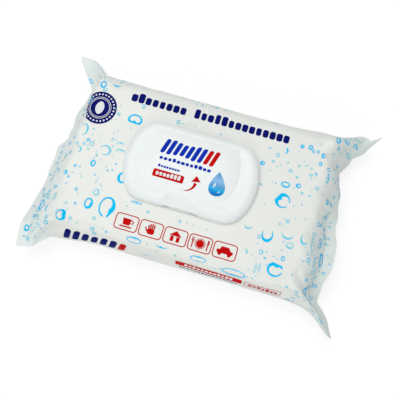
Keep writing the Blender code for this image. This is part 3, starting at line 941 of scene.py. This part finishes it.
# Lengths of film in mm, from the middle of the top face: along the pack, then across it
STRONG_DROPS = (
    Drop((-59, 33), 12, 9.5, 265, 1.9, 0.9, flat=0.35),
    Drop((-80, -11), 4.2, 5.6, 200, 1.1, 0.7),
    Drop((-73, -43), 7.0, 9.0, 330, 1.8, 0.8),
    Drop((-58, -42), 13, 17, 325, 3.4, 0.9, start=285, sweep=335, flat=0.15),
    Drop((-91, -57), 9, 8.5, 10, 2.8, 0.6, flat=0.25),
    Drop((-54, -16), 8, 9, 200, 1.6, 0.8),
    Drop((-94, 55), 5.6, 6.2, 250, 1.1, 0.8),
    Drop((-83, 58), 6.5, 4.0, 265, 1.2, 0.4, start=180, sweep=180),
    Drop((-106, 62), 9.0, 4.0, 90, 2.0, 0.6),
    Drop((-103, 40), 8.0, 7.0, 280, 1.4, 0.5, start=190, sweep=230),
    Drop((-119, -50), 7.0, 9.0, 180, 1.8, 0.8, flat=0.25),
    Drop((-107, -54), 3.4, 6.0, 180, 1.1, 0.5, start=80, sweep=200),
    Drop((-129, -70), 4.6, 6.2, 240, 1.3, 0.8),
    Drop((-122, -27), 3.0, 4.4, 120, 1.2, 0.5),
    Drop((-99, -24), 3.4, 4.0, 20, 1.2, 0.5),
    Drop((72, 2), 12, 12, 150, 3.0, 0.9, start=-10, sweep=330, flat=0.2),
    Drop((71, 15), 7.2, 5.0, 270, 1.1, 0.7),
    Drop((81, 17), 4.2, 3.8, 200, 1.2, 0.5),
    Drop((64, 42), 4.6, 5.0, 20, 1.0, 0.4, start=-90, sweep=190),
    Drop((76, 49), 3.4, 3.4, 250, 0.9, 0.7),
    Drop((83, 50), 3.9, 3.9, 250, 0.9, 0.7),
    Drop((95, 46), 3.6, 4.2, 180, 1.0, 0.7),
    Drop((94, 39), 3.2, 3.4, 0, 0.9, 0.5),
    Drop((49, 27), 3.8, 3.6, 180, 1.4, 0.6),
    Drop((68, -28), 9.0, 11, 275, 1.7, 0.7, start=150, sweep=260),
    Drop((81, -52), 13, 11.5, 80, 2.6, 1.1, start=20, sweep=330, flat=0.2),
    Drop((-30, -61), 12, 5.0, 90, 1.0, 0.5),
    Drop((22, -61), 13, 4.4, 100, 0.9, 0.5),
    Drop((51, -64), 19, 6.5, 270, 1.2, 0.6),
    Drop((-8, -59), 10, 4.0, 270, 0.9, 0.3, start=190, sweep=150),
    Drop((104, 62), 4.0, 6.0, 0, 1.4, 0.6),
    Drop((112, 66), 7.0, 3.2, 270, 1.0, 0.5),
    Drop((122, 70), 9.0, 3.4, 90, 1.3, 0.5),
    Drop((104, 30), 3.4, 8.0, 0, 1.8, 0.5),
    Drop((113, 14), 4.2, 4.8, 250, 1.2, 0.8),
    Drop((125, -12), 4.0, 4.0, 60, 1.3, 0.4, start=0, sweep=180),
    Drop((124, -30), 6.5, 11, 170, 2.0, 0.8),
    Drop((118, -62), 5.0, 13, 200, 2.6, 0.9),
    Drop((-37, -32), 9.0, 1.8, 90, 0.9, 0.9),
)
PALE_DROPS = (
    Drop((-74, 2), 9.5, 8.5, 20, 1.2, 0.6, start=-120, sweep=290),
    Drop((-64, 10), 6.0, 3.6, 90, 0.9, 0.4, start=0, sweep=220),
    Drop((-62, 4), 8.0, 4.5, 90, 1.0, 0.4, start=0, sweep=200),
    Drop((-70, -33), 5.0, 5.4, 0, 0.9, 0.5),
    Drop((-91, 51), 4.4, 3.0, 270, 0.8, 0.5),
    Drop((-96, 14), 7.0, 10, 20, 1.2, 0.4, start=-100, sweep=250),
    Drop((-95, -3), 5.0, 5.4, 20, 1.0, 0.4, start=-80, sweep=220),
    Drop((-56, 46), 3.2, 4.0, 300, 0.7, 0.4),
    Drop((-86, 4), 3.8, 4.0, 90, 0.7, 0.4),
    Drop((-78, 38), 3.0, 4.2, 0, 0.9, 0.3, start=-80, sweep=200),
    Drop((-64, -62), 4.0, 4.0, 90, 0.9, 0.5),
    Drop((-62, -66), 3.6, 3.4, 0, 0.9, 0.5),
    Drop((-104, -44), 4.0, 6.0, 90, 1.0, 0.4),
    Drop((-114, -40), 5.0, 5.0, 90, 0.9, 0.4),
    Drop((-120, -60), 5.0, 4.0, 90, 0.9, 0.4),
    Drop((-112, -8), 4.0, 5.0, 90, 0.9, 0.4),
    Drop((83, -23), 9.0, 8.0, 270, 1.2, 0.3, start=170, sweep=200),
    Drop((87, -31), 6.0, 5.0, 270, 1.0, 0.4),
    Drop((97, -23), 7.0, 9.0, 250, 1.4, 0.4, start=120, sweep=230),
    Drop((52, -25), 6.0, 5.0, 270, 1.0, 0.4, start=180, sweep=190),
    Drop((62, -31), 2.8, 3.4, 0, 0.7, 0.4),
    Drop((67, -42), 3.4, 4.0, 0, 0.9, 0.4),
    Drop((66, -55), 1.8, 8.0, 0, 0.8, 0.5),
    Drop((69, -54), 1.8, 7.0, 0, 0.8, 0.5),
    Drop((55, -45), 4.0, 4.0, 0, 0.9, 0.3, start=-60, sweep=200),
    Drop((108, -24), 5.0, 12, 180, 1.2, 0.4),
    Drop((114, -36), 4.0, 9.0, 0, 1.2, 0.4),
    Drop((72, 27), 3.0, 3.0, 90, 0.8, 0.4),
    Drop((52, 9), 4.0, 3.0, 90, 0.8, 0.3, start=0, sweep=200),
    Drop((128, 62), 9.0, 3.4, 270, 1.1, 0.5),
    Drop((118, 76), 8.0, 3.0, 90, 1.0, 0.4),
)

# Where other print lies, in mm: left, right, front, back
LABEL_ZONES = ((-72, 72, 44, 60), (-52, 54, -58, -40), (-58, 54, -33, 38), (-92, -26, -85, -64),
               (2, 94, -80, -68))
BADGE_CENTRE = (-90, 35)
BADGE_RADIUS = 14
BADGE_RINGS = (9.4, 8.2)
BADGE_LINE = 0.45
BEAD_RING = 11.7
BEAD_COUNT = 26
BEAD_WIDTH = 1.5
LEAF_HALF_WIDTH = 3.6
LEAF_HALF_HEIGHT = 5.6

# Small drops, in mm: how far along the film they reach, and how they keep off the left slope's middle
SCATTER_REACH = 134
SMALLEST_DROP = 0.9
DROP_SPREAD = 2.6
DROP_WALK = 5
LEFT_SLOPE_START = -101
SLOPE_MIDDLE = 44
LEAST_SLOPE_MARGIN = 1.8


def free_of_labels(x, y, margin):
    """Whether a small drop at a place keeps clear of the large drops, the badge and the other print, and
    off the middle of the left slope if it is very small."""
    if x < LEFT_SLOPE_START and abs(y) < SLOPE_MIDDLE and margin < LEAST_SLOPE_MARGIN:
        return False
    for drop in STRONG_DROPS + PALE_DROPS:
        reach = max(drop.width, drop.height) / 2 + margin - 0.6
        if math.hypot(x - drop.centre[0], y - drop.centre[1]) < reach:
            return False
    for left, right, low, high in LABEL_ZONES:
        if left - margin < x < right + margin and low - margin < y < high + margin:
            return False
    return math.hypot(x - BADGE_CENTRE[0], y - BADGE_CENTRE[1]) > BADGE_RADIUS + margin


def on_the_slopes(x, y, margin):
    """Whether a small drop at a place lies past the right ridge or on the left front ear, and is free."""
    on_slope = x > RIDGE / MM or x < -RIDGE / MM and y < -SLOPE_MIDDLE
    return on_slope and free_of_labels(x, y, margin)


def scatter(strong, pale, count, seed, free):
    """Strew small drops in loose clusters over a layer of film."""
    chance = np.random.default_rng(seed)
    half = HALF_GIRTH / MM
    laid = np.empty((0, 3))
    for _ in range(count):
        x = chance.uniform(-SCATTER_REACH, SCATTER_REACH)
        y = chance.uniform(-half + 3, half - 3)
        for _ in range(chance.integers(2, 7)):
            size = SMALLEST_DROP + DROP_SPREAD * chance.random() ** 2.5
            drop = Drop((x, y), size * (1.7 if abs(x) > 100 else 1), size * chance.uniform(0.8, 1.25),
                        chance.uniform(0, 360), 0.19 * size + 0.12, 0.12 * size + 0.08)
            clear = np.all(np.hypot(laid[:, 0] - x, laid[:, 1] - y) > laid[:, 2] + size * 0.7)
            inside = abs(y) < half - 2 and abs(x) < SCATTER_REACH - 0.5
            if inside and clear and free(x, y, size / 2 + 1):
                laid = np.append(laid, [(x, y, size * 0.7)], axis=0)
                draw_drop(strong if chance.random() < 0.22 + 0.3 * (abs(x) > 98) else pale, drop)
            x += chance.normal(0, DROP_WALK)
            y += chance.normal(0, DROP_WALK)


def build_drops(inks):
    """The water drops printed all over the film."""
    strong = Print("strong_drop_print", over_film)
    pale = Print("pale_drop_print", over_film)
    for drop in STRONG_DROPS:
        draw_drop(strong, drop)
    for drop in PALE_DROPS:
        draw_drop(pale, drop)
    scatter(strong, pale, 260, 4, free_of_labels)
    scatter(strong, pale, 80, 5, on_the_slopes)
    strong.piece(inks["cyan"], "pack")
    pale.piece(inks["pale_cyan"], "pack")
    below_strong = Print("strong_drop_print_below", under_film)
    below_pale = Print("pale_drop_print_below", under_film)
    scatter(below_strong, below_pale, 150, 9, lambda x, y, margin: abs(y) > 58 or abs(x) > 92)
    below_strong.piece(inks["cyan"], "pack")
    below_pale.piece(inks["pale_cyan"], "pack")


def pebbles(ink, start, finish, middle, height, seed, pitch):
    """A row of upright rounded bars, some of them taller."""
    chance = np.random.default_rng(seed)
    count = max(1, round((finish - start) / pitch))
    step = (finish - start) / count
    for place in range(count):
        tall = height * (1.3 if chance.random() < 0.3 else 1.0)
        width = step * chance.uniform(0.70, 0.88)
        centre = (start + (place + 0.5) * step, middle + (tall - height) / 2)
        ink.fill(rounded_box(centre, width, tall, min(width, tall) * 0.35))


def wave_bars(ink, start, finish, middle, height, count, slant):
    """Slanted round-ended bars whose heights swell and fall like a wave."""
    step = (finish - start) / count
    for place in range(count):
        tall = height * (0.88 + 0.12 * math.sin(place * 1.35 + 0.6))
        width = step * 0.70
        ink.fill(rounded_box((start + (place + 0.5) * step, middle), width, tall, width * 0.45, slant))


ICON_WIDTH = 18.8
ICON_HEIGHT = 13.1
ICON_PITCH = 19.9
ICON_ROW = (-49.0, -55.8)
ICON_LINE = 0.75


def icon_frame(ink, centre):
    """The outline of one icon, with round corners."""
    outer = rounded_box(centre, ICON_WIDTH, ICON_HEIGHT, 2.8)
    inner = rounded_box(centre, ICON_WIDTH - 2 * ICON_LINE, ICON_HEIGHT - 2 * ICON_LINE, 2.1)
    ink.band(outer, inner)


def cup_icon(ink, centre):
    """A cup on its saucer."""
    cup = np.array([(-3.4, 3.2), (-2.6, -2.0), (2.6, -2.0), (3.4, 3.2)]) + centre
    ink.fill(cup[::-1])
    ink.fill(rounded_box(centre + (0, -3.4), 9.6, 1.1, 0.5))
    ink.band(oval(centre + (3.9, 1.0), 3.6, 3.2), oval(centre + (3.9, 1.0), 2.1, 1.8))


def hand_icon(ink, centre):
    """An open hand."""
    for place, height in enumerate((2.6, 3.8, 4.1, 3.4)):
        ink.fill(rounded_box(centre + (-2.1 + 1.5 * place, 0.6 + height / 2), 1.1, height, 0.5))
    ink.fill(rounded_box(centre + (0.2, -1.6), 5.8, 4.6, 1.6))
    ink.fill(rounded_box(centre + (-3.6, -0.6), 1.2, 3.4, 0.5, -0.5))


def house_icon(ink, centre):
    """A house with a pitched roof."""
    ink.fill(np.array([(-5.0, 0.4), (5.0, 0.4), (0.0, 4.6)]) + centre)
    ink.fill(rounded_box(centre + (-2.4, -2.0), 2.6, 4.2, 0.2))
    ink.fill(rounded_box(centre + (2.4, -2.0), 2.6, 4.2, 0.2))


def plate_icon(ink, centre):
    """A plate between a fork and a knife."""
    ink.fill(oval(centre, 6.4, 6.4))
    ink.band(oval(centre, 8.4, 8.4), oval(centre, 7.4, 7.4))
    for side in (-1, 1):
        ink.fill(rounded_box(centre + (6.0 * side, -1.6), 0.9, 5.4, 0.4))
    ink.fill(rounded_box(centre + (6.2, 2.2), 1.5, 4.2, 0.7))
    for tine in (-0.9, 0.0, 0.9):
        ink.fill(rounded_box(centre + (-6.0 + tine, 2.8), 0.45, 3.0, 0.2))
    ink.fill(rounded_box(centre + (-6.0, 1.4), 2.3, 0.9, 0.4))


def car_icon(ink, centre):
    """A small car from its side."""
    ink.fill(rounded_box(centre + (0, -0.8), 13.0, 2.8, 1.1))
    roof = np.array([(-4.4, 0.4), (4.6, 0.4), (2.6, 3.2), (-3.0, 3.2)]) + centre
    ink.fill(roof)
    for wheel in (-3.8, 3.8):
        ink.fill(oval(centre + (wheel, -2.6), 2.9, 2.9))


def build_icons(ink):
    """The row of five icons along the front of the top face."""
    pictures = (cup_icon, hand_icon, house_icon, plate_icon, car_icon)
    for place, picture in enumerate(pictures):
        centre = np.array(ICON_ROW) + (ICON_WIDTH / 2 + place * ICON_PITCH, ICON_HEIGHT / 2)
        icon_frame(ink, centre)
        picture(ink, centre)


def build_badge(navy, white):
    """The round badge near the back left corner: a disc, a ring of beads and a leaf."""
    navy.fill(oval(BADGE_CENTRE, 2 * BADGE_RADIUS, 2 * BADGE_RADIUS, count=64))
    for radius in BADGE_RINGS:
        outer = oval(BADGE_CENTRE, 2 * radius, 2 * radius, count=56)
        inner = oval(BADGE_CENTRE, 2 * (radius - BADGE_LINE), 2 * (radius - BADGE_LINE), count=56)
        white.band(outer, inner)
    for bead in oval(BADGE_CENTRE, 2 * BEAD_RING, 2 * BEAD_RING, count=BEAD_COUNT):
        white.fill(oval(bead, BEAD_WIDTH, BEAD_WIDTH, count=12))
    half = np.linspace(0, math.pi, 13)
    right = np.stack([LEAF_HALF_WIDTH * np.sin(half) ** 1.2, LEAF_HALF_HEIGHT * np.cos(half)], -1)
    leaf = np.concatenate([right, right[-2:0:-1] * (-1, 1)])
    white.fill((leaf + BADGE_CENTRE)[::-1])


def build_film_labels(inks):
    """The rest of the film's print: lines of bars, the badge, the icons and the front's labels."""
    navy = Print("navy_film_print", over_film)
    red = Print("red_film_print", over_film)
    white = Print("white_film_print", over_ink)
    pebbles(navy, -68, -21, middle=51.2, height=6.4, seed=1, pitch=5.6)
    pebbles(navy, -15, 65, middle=51.2, height=6.4, seed=2, pitch=5.6)
    build_badge(navy, white)
    build_icons(red)
    wave_bars(navy, -89, -43, middle=-75.5, height=14.5, count=6, slant=0.25)
    wave_bars(red, -43, -35.3, middle=-75.5, height=14.5, count=1, slant=0.25)
    red.fill(rounded_box((32, -73.4), 54, 7.0, 0.8))
    pebbles(white, 12, 52, middle=-73.4, height=2.8, seed=3, pitch=3.4)
    pebbles(navy, 8, 56, middle=-80.0, height=1.8, seed=4, pitch=3.0)
    red.band(rounded_box((77, -74.5), 32, 8.0, 1.0), rounded_box((77, -74.5), 31, 7.0, 0.7))
    pebbles(red, 64, 90, middle=-74.5, height=3.0, seed=5, pitch=3.6)
    navy.piece(inks["navy"], "pack")
    red.piece(inks["red"], "pack")
    white.piece(inks["white"], "pack")


def build_underside_print(inks):
    """The printed panel of the underside: rows of thin bars and a block of upright lines."""
    navy = Print("navy_underside_print", under_film)
    columns = ((9, -78, -8, -22, 3, 20), (6, 8, 78, 60, 2, 40))
    for rows, start, finish, short_finish, every, seed in columns:
        for row in range(rows):
            pebbles(navy, start, finish if row % every else short_finish,
                    middle=40 - row * 5.0, height=1.5, seed=seed + row, pitch=2.6)
    chance = np.random.default_rng(6)
    place = 14.0
    while place < 50:
        width = chance.choice((0.4, 0.8, 1.2))
        navy.fill(rounded_box((place + width / 2, -20), width, 16, 0.1))
        place += width + chance.choice((0.4, 0.8))
    navy.piece(inks["navy"], "pack")


# Lid and frame

def barrel(length, depth, end_radius, corner_radius, inset=0.0, centre=LID_CENTRE):
    """Outline with straight long edges, bowed ends and round corners, counter-clockwise from +X."""
    half_depth = depth / 2 - inset
    corner = max(corner_radius - inset, PANEL_CORNER_RADIUS / 2)
    reach = end_radius - inset - corner
    end_centre = length / 2 - end_radius
    corner_y = half_depth - corner
    corner_x = end_centre + math.sqrt(reach * reach - corner_y * corner_y)
    bow = math.asin(corner_y / reach)
    points = []
    for step in range(END_STEPS):
        angle = bow * step / END_STEPS
        radius = end_radius - inset
        points.append((end_centre + radius * math.cos(angle), radius * math.sin(angle)))
    for step in range(CORNER_STEPS):
        angle = bow + (math.pi / 2 - bow) * step / CORNER_STEPS
        points.append((corner_x + corner * math.cos(angle), corner_y + corner * math.sin(angle)))
    for step in range(EDGE_STEPS + 1):
        points.append((corner_x * (1 - step / EDGE_STEPS), half_depth))
    quarter = np.array(points)
    left = quarter[-2::-1] * (-1, 1)
    half = np.concatenate([quarter, left])
    return np.concatenate([half, half[-2:0:-1] * (1, -1)]) + centre


def lid_outline(inset=0.0):
    """Outline of the lid, moved inward by an inset."""
    return barrel(LID_LENGTH, LID_DEPTH, LID_END_RADIUS, LID_CORNER_RADIUS, inset)


def panel_outline(inset=0.0):
    """Outline of the raised panel, which sits nearer the hinge than the front."""
    centre = (LID_CENTRE[0], LID_CENTRE[1] + PANEL_SHIFT)
    return barrel(PANEL_LENGTH, PANEL_DEPTH, PANEL_END_RADIUS, PANEL_CORNER_RADIUS, inset, centre)


def opening_outline(inset=0.0):
    """Outline of the opening, moved inward by an inset or outward by a negative one."""
    return barrel(OPENING_LENGTH, OPENING_DEPTH, OPENING_END_RADIUS, OPENING_CORNER_RADIUS, inset)


def at_height(outline, height):
    """An outline as a ring of points at one height."""
    return np.column_stack([outline, np.broadcast_to(height, len(outline))])


def near_edge(outline, edge_y, half_width):
    """How fully points lie on a long edge, within a half width of the lid's middle."""
    on_edge = np.abs(outline[:, 1] - edge_y) < GAP
    inside = half_width - np.abs(outline[:, 0] - LID_CENTRE[0])
    return on_edge * smooth_step(inside / EDGE_RUN)


def scoop_share(x, inset):
    """How fully the thumb scoop shapes the lid's border: 0 outside it, 1 along its middle."""
    half_width = (SCOOP_WIDTH + (SCOOP_NARROW - SCOOP_WIDTH) * inset / SCOOP_DEPTH) / 2
    across = np.clip(1 - np.abs((x - LID_CENTRE[0]) / half_width) ** 3, 0, 1)
    return across * (inset < SCOOP_DEPTH)


def scooped(outline, height, inset, depth):
    """A ring of the lid's border, drawn down and inward where the thumb scoop crosses it."""
    front = outline[:, 1] < LID_CENTRE[1] - PANEL_DEPTH / 3
    share = scoop_share(outline[:, 0], inset) * front
    edge_height = FLANGE_TOP + GAP + SCOOP_EDGE
    slope_height = edge_height + (LID_TOP - edge_height) * min(inset / SCOOP_DEPTH, 1.0) - depth
    ring = at_height(outline, height)
    ring[:, 2] += np.minimum(slope_height - ring[:, 2], 0) * share
    ring[:, 1] += SCOOP_DRAW * share * max(1 - inset / SCOOP_DEPTH, 0)
    return ring


def skirt_ring(depth):
    """The lower edge of the lid's skin, raised over the hinge ledge and over the front lip."""
    outline = lid_outline(depth)
    ledge = near_edge(outline, LID_BACK - depth, HINGE_LENGTH / 2 + NOTCH_MARGIN)
    lip = near_edge(outline, LID_FRONT + depth, LIP_WIDTH / 2 + NOTCH_MARGIN)
    ring = scooped(outline, SKIRT_BOTTOM, 0.0, 0.0)
    ring[:, 2] += (FLANGE_TOP + GAP - ring[:, 2]) * np.maximum(ledge, lip)
    return ring


def lid_skin(depth):
    """Rings of the lid's skin at a depth in its wall, from its lower edge over the rim to the valley."""
    rings = [skirt_ring(depth), scooped(lid_outline(depth), SKIRT_TOP, 0.0, depth)]
    for step in range(1, RIM_STEPS + 1):
        angle = math.pi / 2 * step / RIM_STEPS
        inset = RIM_WIDTH * (1 - math.cos(angle)) + depth * math.cos(angle)
        height = SKIRT_TOP + (LID_TOP - SKIRT_TOP - depth) * math.sin(angle)
        rings.append(scooped(lid_outline(inset), height, inset, depth))
    crest = lid_outline(RIM_WIDTH)
    valley = panel_outline(-PANEL_BORDER)
    for step in range(1, VALLEY_STEPS + 1):
        share = step / VALLEY_STEPS
        height = LID_TOP - depth - VALLEY_DEPTH * smooth_step(share)
        inset = RIM_WIDTH + (SCOOP_DEPTH - RIM_WIDTH) * share
        rings.append(scooped(crest + (valley - crest) * share, height, inset, depth))
    return rings


def build_lid(material):
    """The moulded lid and the ring under it that seals the opening."""
    middle = np.array(LID_CENTRE) + (0.0, PANEL_SHIFT)
    inner_middle = middle + (panel_outline() - middle) / 2
    inner = [at_height(inner_middle, LID_TOP - VALLEY_DEPTH - LID_WALL)] + lid_skin(LID_WALL)[::-1]
    edge = [at_height(panel_outline(-PANEL_BORDER * share), PANEL_TOP - PANEL_STEP * share ** 2)
            for share in (0.6, 0.25, 0.0)]
    rings = inner + lid_skin(0.0) + edge + [at_height(inner_middle, PANEL_TOP)]
    add_piece("moulded_lid", mesh_from_rings("moulded_lid", rings, flat_cap), material,
              "lid", ("lid_flap",), 40)
    ring_inset = -(COLLAR_WALL + SEAL_RING_GAP)
    low = COLLAR_TOP - SEAL_RING_LAP
    high = LID_TOP - VALLEY_DEPTH - LID_WALL / 2
    outer = opening_outline(ring_inset - SEAL_RING_WALL)
    taper = opening_outline(ring_inset - SEAL_RING_WALL * 0.6)
    inner_edge = opening_outline(ring_inset)
    rings = [at_height(outer, high), at_height(outer, low + SEAL_RING_TAPER), at_height(taper, low),
             at_height(inner_edge, low), at_height(inner_edge, high)]
    add_piece("lid_seal_ring", mesh_from_rings("lid_seal_ring", rings, loop=True), material,
              "lid", smooth=40)


def build_frame(material):
    """The moulded base: flange with soft edges, collar, hinge ledge, front lip, and the hinge's web."""
    flange = lid_outline(FLANGE_INSET)
    ledge = near_edge(flange, LID_BACK - FLANGE_INSET, (HINGE_LENGTH + EDGE_RUN) / 2)
    lip = near_edge(flange, LID_FRONT + FLANGE_INSET, (LIP_WIDTH + EDGE_RUN) / 2)
    flange[:, 1] += ledge * (FLANGE_INSET - GAP) - lip * LIP_REACH
    drawn_in = flange + (np.array(LID_CENTRE) - flange) * (SOFT_EDGE / FLANGE_HALF_DEPTH)
    collar = opening_outline(-COLLAR_WALL)
    foot = opening_outline(-COLLAR_WALL - SOFT_EDGE)
    collar_edge = opening_outline(-COLLAR_WALL + SOFT_EDGE)
    opening_edge = opening_outline(-SOFT_EDGE)
    opening = opening_outline()
    rings = [at_height(flange, FLANGE_BOTTOM), at_height(flange, FLANGE_TOP - SOFT_EDGE),
             at_height(drawn_in, FLANGE_TOP), at_height(foot, FLANGE_TOP),
             at_height(collar, FLANGE_TOP + SOFT_EDGE), at_height(collar, COLLAR_TOP - SOFT_EDGE),
             at_height(collar_edge, COLLAR_TOP), at_height(opening_edge, COLLAR_TOP),
             at_height(opening, COLLAR_TOP - SOFT_EDGE), at_height(opening, FLANGE_BOTTOM)]
    add_piece("moulded_frame", mesh_from_rings("moulded_frame", rings, loop=True), material,
              "pack", ("lid_frame",), 40)
    build_hinge_web(material)


def build_hinge_web(material):
    """The thin web that joins the lid to its frame along the hinge, rounded at its ends."""
    radius = GAP * 0.9
    angle = np.arange(WEB_SIDES) * 2 * math.pi / WEB_SIDES
    rings = []
    for share in np.linspace(-1, 1, WEB_RINGS):
        thin = radius * (1 - 0.7 * abs(share) ** 6)
        x = np.full(WEB_SIDES, LID_CENTRE[0] + share * HINGE_LENGTH / 2)
        rings.append(np.stack([x, LID_BACK - GAP / 2 + np.cos(angle) * thin,
                               FLANGE_TOP + GAP / 2 + np.sin(angle) * thin], -1))
    add_piece("hinge_web", mesh_from_rings("hinge_web", rings, flat_cap), material,
              "pack", smooth=50)


def build_lid_print(inks):
    """The print on the lid's panel, in mm from the lid's middle."""
    blue = Print("blue_lid_print", panel_surface)
    red = Print("red_lid_print", panel_surface)
    wave_bars(blue, -27, 8, middle=13.4, height=13.0, count=7, slant=0.28)
    wave_bars(red, 8, 18, middle=13.4, height=13.0, count=2, slant=0.28)
    pebbles(blue, -27, 15.5, middle=3.2, height=2.4, seed=31, pitch=3.6)
    pebbles(blue, -26, -8, middle=-3.4, height=1.7, seed=32, pitch=2.3)
    red.fill(rounded_box((-15.6, -9.6), 25, 6.2, 0.9))
    draw_arrow(red)
    blue.piece(inks["blue"], "lid")
    red.piece(inks["red"], "lid")
    tag = Print("white_lid_print", over_panel_ink)
    pebbles(tag, -26, -5.4, middle=-9.6, height=2.9, seed=33, pitch=3.0)
    tag.piece(inks["white"], "lid")
    build_printed_drop()


def draw_arrow(ink):
    """The curved arrow: a bow that widens towards its head."""
    angle = np.linspace(-1.7, -0.10, 15)
    outward = np.stack([np.cos(angle), np.sin(angle)], -1)
    outer = outward * (8.4, 8.8) + (-0.6, -8.6)
    width = np.linspace(0.1, 2.6, len(angle))[:, None]
    ink.band(outer, outer - outward * width, closed=False)
    ink.fill(np.array([(3.0, -9.1), (10.2, -7.6), (5.9, -3.4)]))


def build_printed_drop():
    """The large shaded drop printed on the lid, with its highlight."""
    centre = np.array((23.4, -8.0))
    angle = np.linspace(0, 2 * math.pi, 49)[:-1]
    half_width, half_height, lift = 8.8, 10.0, 3.0
    width = half_width * np.sin(angle) * np.sin(angle / 2) ** 1.2
    outline = turned(np.stack([width, half_height * np.cos(angle) + lift], -1), 5, centre)
    drop = Print("shaded_drop_print", panel_surface)
    drop.fill(outline[::-1])
    foot, tip = ((centre[1] + reach) * MM + LID_CENTRE[1] for reach in (-6.4, 12.8))
    drop.piece(drop_finish(foot, tip), "lid")
    shine = Print("drop_highlight_print", over_panel_ink)
    shine.fill(oval(centre + (-2.2, 1.4), 1.5, 4.4, -14))
    shine.fill(oval(centre + (2.3, -3.2), 2.2, 0.9, 30))
    shine.piece(ink_finish("pale_highlight_ink", (0.70, 0.86, 0.97)), "lid")


# Wipes

def build_wipes(material):
    """The folded wipes: a soft block whose top wipe shows its fold under the opening."""
    half_length = BODY_LENGTH / 2 - STACK_END_SPACE
    half_width = FLAT_WIDTH / 2 + STACK_OVERHANG
    stations = np.linspace(-half_length, half_length, WIPE_RINGS)
    flat = np.linspace(-(half_width - STACK_EDGE), half_width - STACK_EDGE, WIPE_POINTS)
    bend = np.linspace(0, math.pi / 2, WIPE_BEND_POINTS)
    turned_over = (0, STACK_HIGH + STACK_LOW)
    rings = []
    for x in stations:
        top = np.stack([flat, STACK_HIGH - fold_drop(x, flat)], -1)
        right = np.stack([half_width - STACK_EDGE + STACK_EDGE * np.sin(bend[1:]),
                          STACK_HIGH - STACK_EDGE + STACK_EDGE * np.cos(bend[1:])], -1)
        low_right = right[::-1] * (1, -1) + turned_over
        under = np.stack([flat[::-1], flat * 0 + STACK_LOW], -1)
        left = right * (-1, 1)
        ring = np.concatenate([top, right, low_right, under, left * (1, -1) + turned_over, left[::-1]])
        rings.append(np.column_stack([np.full(len(ring), x), ring]))
    add_piece("folded_wipes", mesh_from_rings("folded_wipes", rings, flat_cap), material,
              "pack", ("wipes_stack",), 50)


def fold_drop(x, y):
    """How far the top wipe lies below the block's top: a fold's step and soft dimples."""
    edge = FOLD_PLACE + 0.0016 * math.sin(x * 60) + x * 0.12
    step = smooth_step((y - edge) / 0.0010)
    dimples = DIMPLE_DEPTH * (1 + np.sin(y * 420 + x * 130)) * (1 + math.sin(x * 190)) / 2
    roll = FOLD_ROLL * np.exp(-((y - edge + 0.0016) / 0.0012) ** 2)
    return FOLD_STEP * step + dimples + TOP_WIPE_DEPTH - roll


# Surroundings

def build_floor(material):
    """The table that the pack lies on."""
    build = bmesh.new()
    bmesh.ops.create_grid(build, x_segments=1, y_segments=1, size=3.0)
    floor = add_piece("table", mesh_from_build("table", build), material)
    floor.location.z = FLOOR_HEIGHT


def build_light():
    """A bright even room, white where the camera sees it, and two broad soft lamps."""
    world = bpy.data.worlds.new("white_room")
    bpy.context.scene.world = world
    world.use_nodes = True
    nodes = Nodes(world.node_tree)
    room = nodes.node("ShaderNodeBackground", None, {"Color": ROOM_COLOUR, "Strength": ROOM_STRENGTH})
    backdrop = nodes.node("ShaderNodeBackground", None, {"Color": grey(1.0)})
    seen = nodes.node("ShaderNodeLightPath")
    choice = nodes.node("ShaderNodeMixShader", None, {0: seen, 1: room, 2: backdrop})
    nodes.plug(world.node_tree.nodes["World Output"].inputs["Surface"], choice)
    add_lamp("key_lamp", (-0.30, 0.25, 1.30), 0.8, 6.6)
    add_lamp("fill_lamp", (0.10, -1.2, 0.65), 1.0, 4.2)


def add_lamp(name, place, size, power):
    """A square lamp that faces the pack."""
    data = bpy.data.lights.new(name, "AREA")
    data.shape = "SQUARE"
    data.size = size
    data.energy = power
    data.color = LAMP_COLOUR
    lamp = bpy.data.objects.new(name, data)
    lamp.location = place
    lamp.rotation_euler = (-Vector(place)).to_track_quat("-Z", "Y").to_euler()
    bpy.context.scene.collection.objects.link(lamp)


def build_camera():
    """The camera of the photo, high over the front of the pack."""
    data = bpy.data.cameras.new("camera")
    data.lens = CAMERA_LENS
    data.sensor_width = 36.0
    camera = bpy.data.objects.new("camera", data)
    camera.location = CAMERA_PLACE
    camera.rotation_euler = Euler([math.radians(angle) for angle in CAMERA_TURN])
    bpy.context.scene.collection.objects.link(camera)
    bpy.context.scene.camera = camera


def main():
    """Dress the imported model."""
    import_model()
    film = film_finish()
    lid_plastic = moulded_finish("lid_polypropylene", (0.865, 0.878, 0.878), (0.890, 0.902, 0.902), 0.30)
    frame_plastic = moulded_finish("frame_polypropylene", (0.85, 0.865, 0.87), (0.88, 0.89, 0.895), 0.36)
    inks = {
        "cyan": ink_finish("cyan_ink", (0.0, 0.58, 1.0)),
        "pale_cyan": ink_finish("pale_cyan_ink", (0.18, 0.70, 0.90)),
        "navy": ink_finish("navy_ink", (0.001, 0.006, 0.15)),
        "blue": ink_finish("blue_ink", (0.002, 0.030, 0.46)),
        "red": ink_finish("red_ink", (0.60, 0.001, 0.002)),
        "white": ink_finish("white_ink", (0.85, 0.86, 0.86)),
    }
    build_pouch(film)
    build_drops(inks)
    build_film_labels(inks)
    build_underside_print(inks)
    build_wipes(fleece_finish())
    build_lid(lid_plastic)
    build_lid_print(inks)
    build_frame(frame_plastic)
    glue = bpy.data.objects.get("glue_ring")
    if glue is not None:
        glue.data.materials.clear()
        glue.data.materials.append(adhesive_finish())
    build_floor(floor_finish())
    build_light()
    build_camera()
    bpy.context.scene.view_settings.view_transform = "Standard"


main()
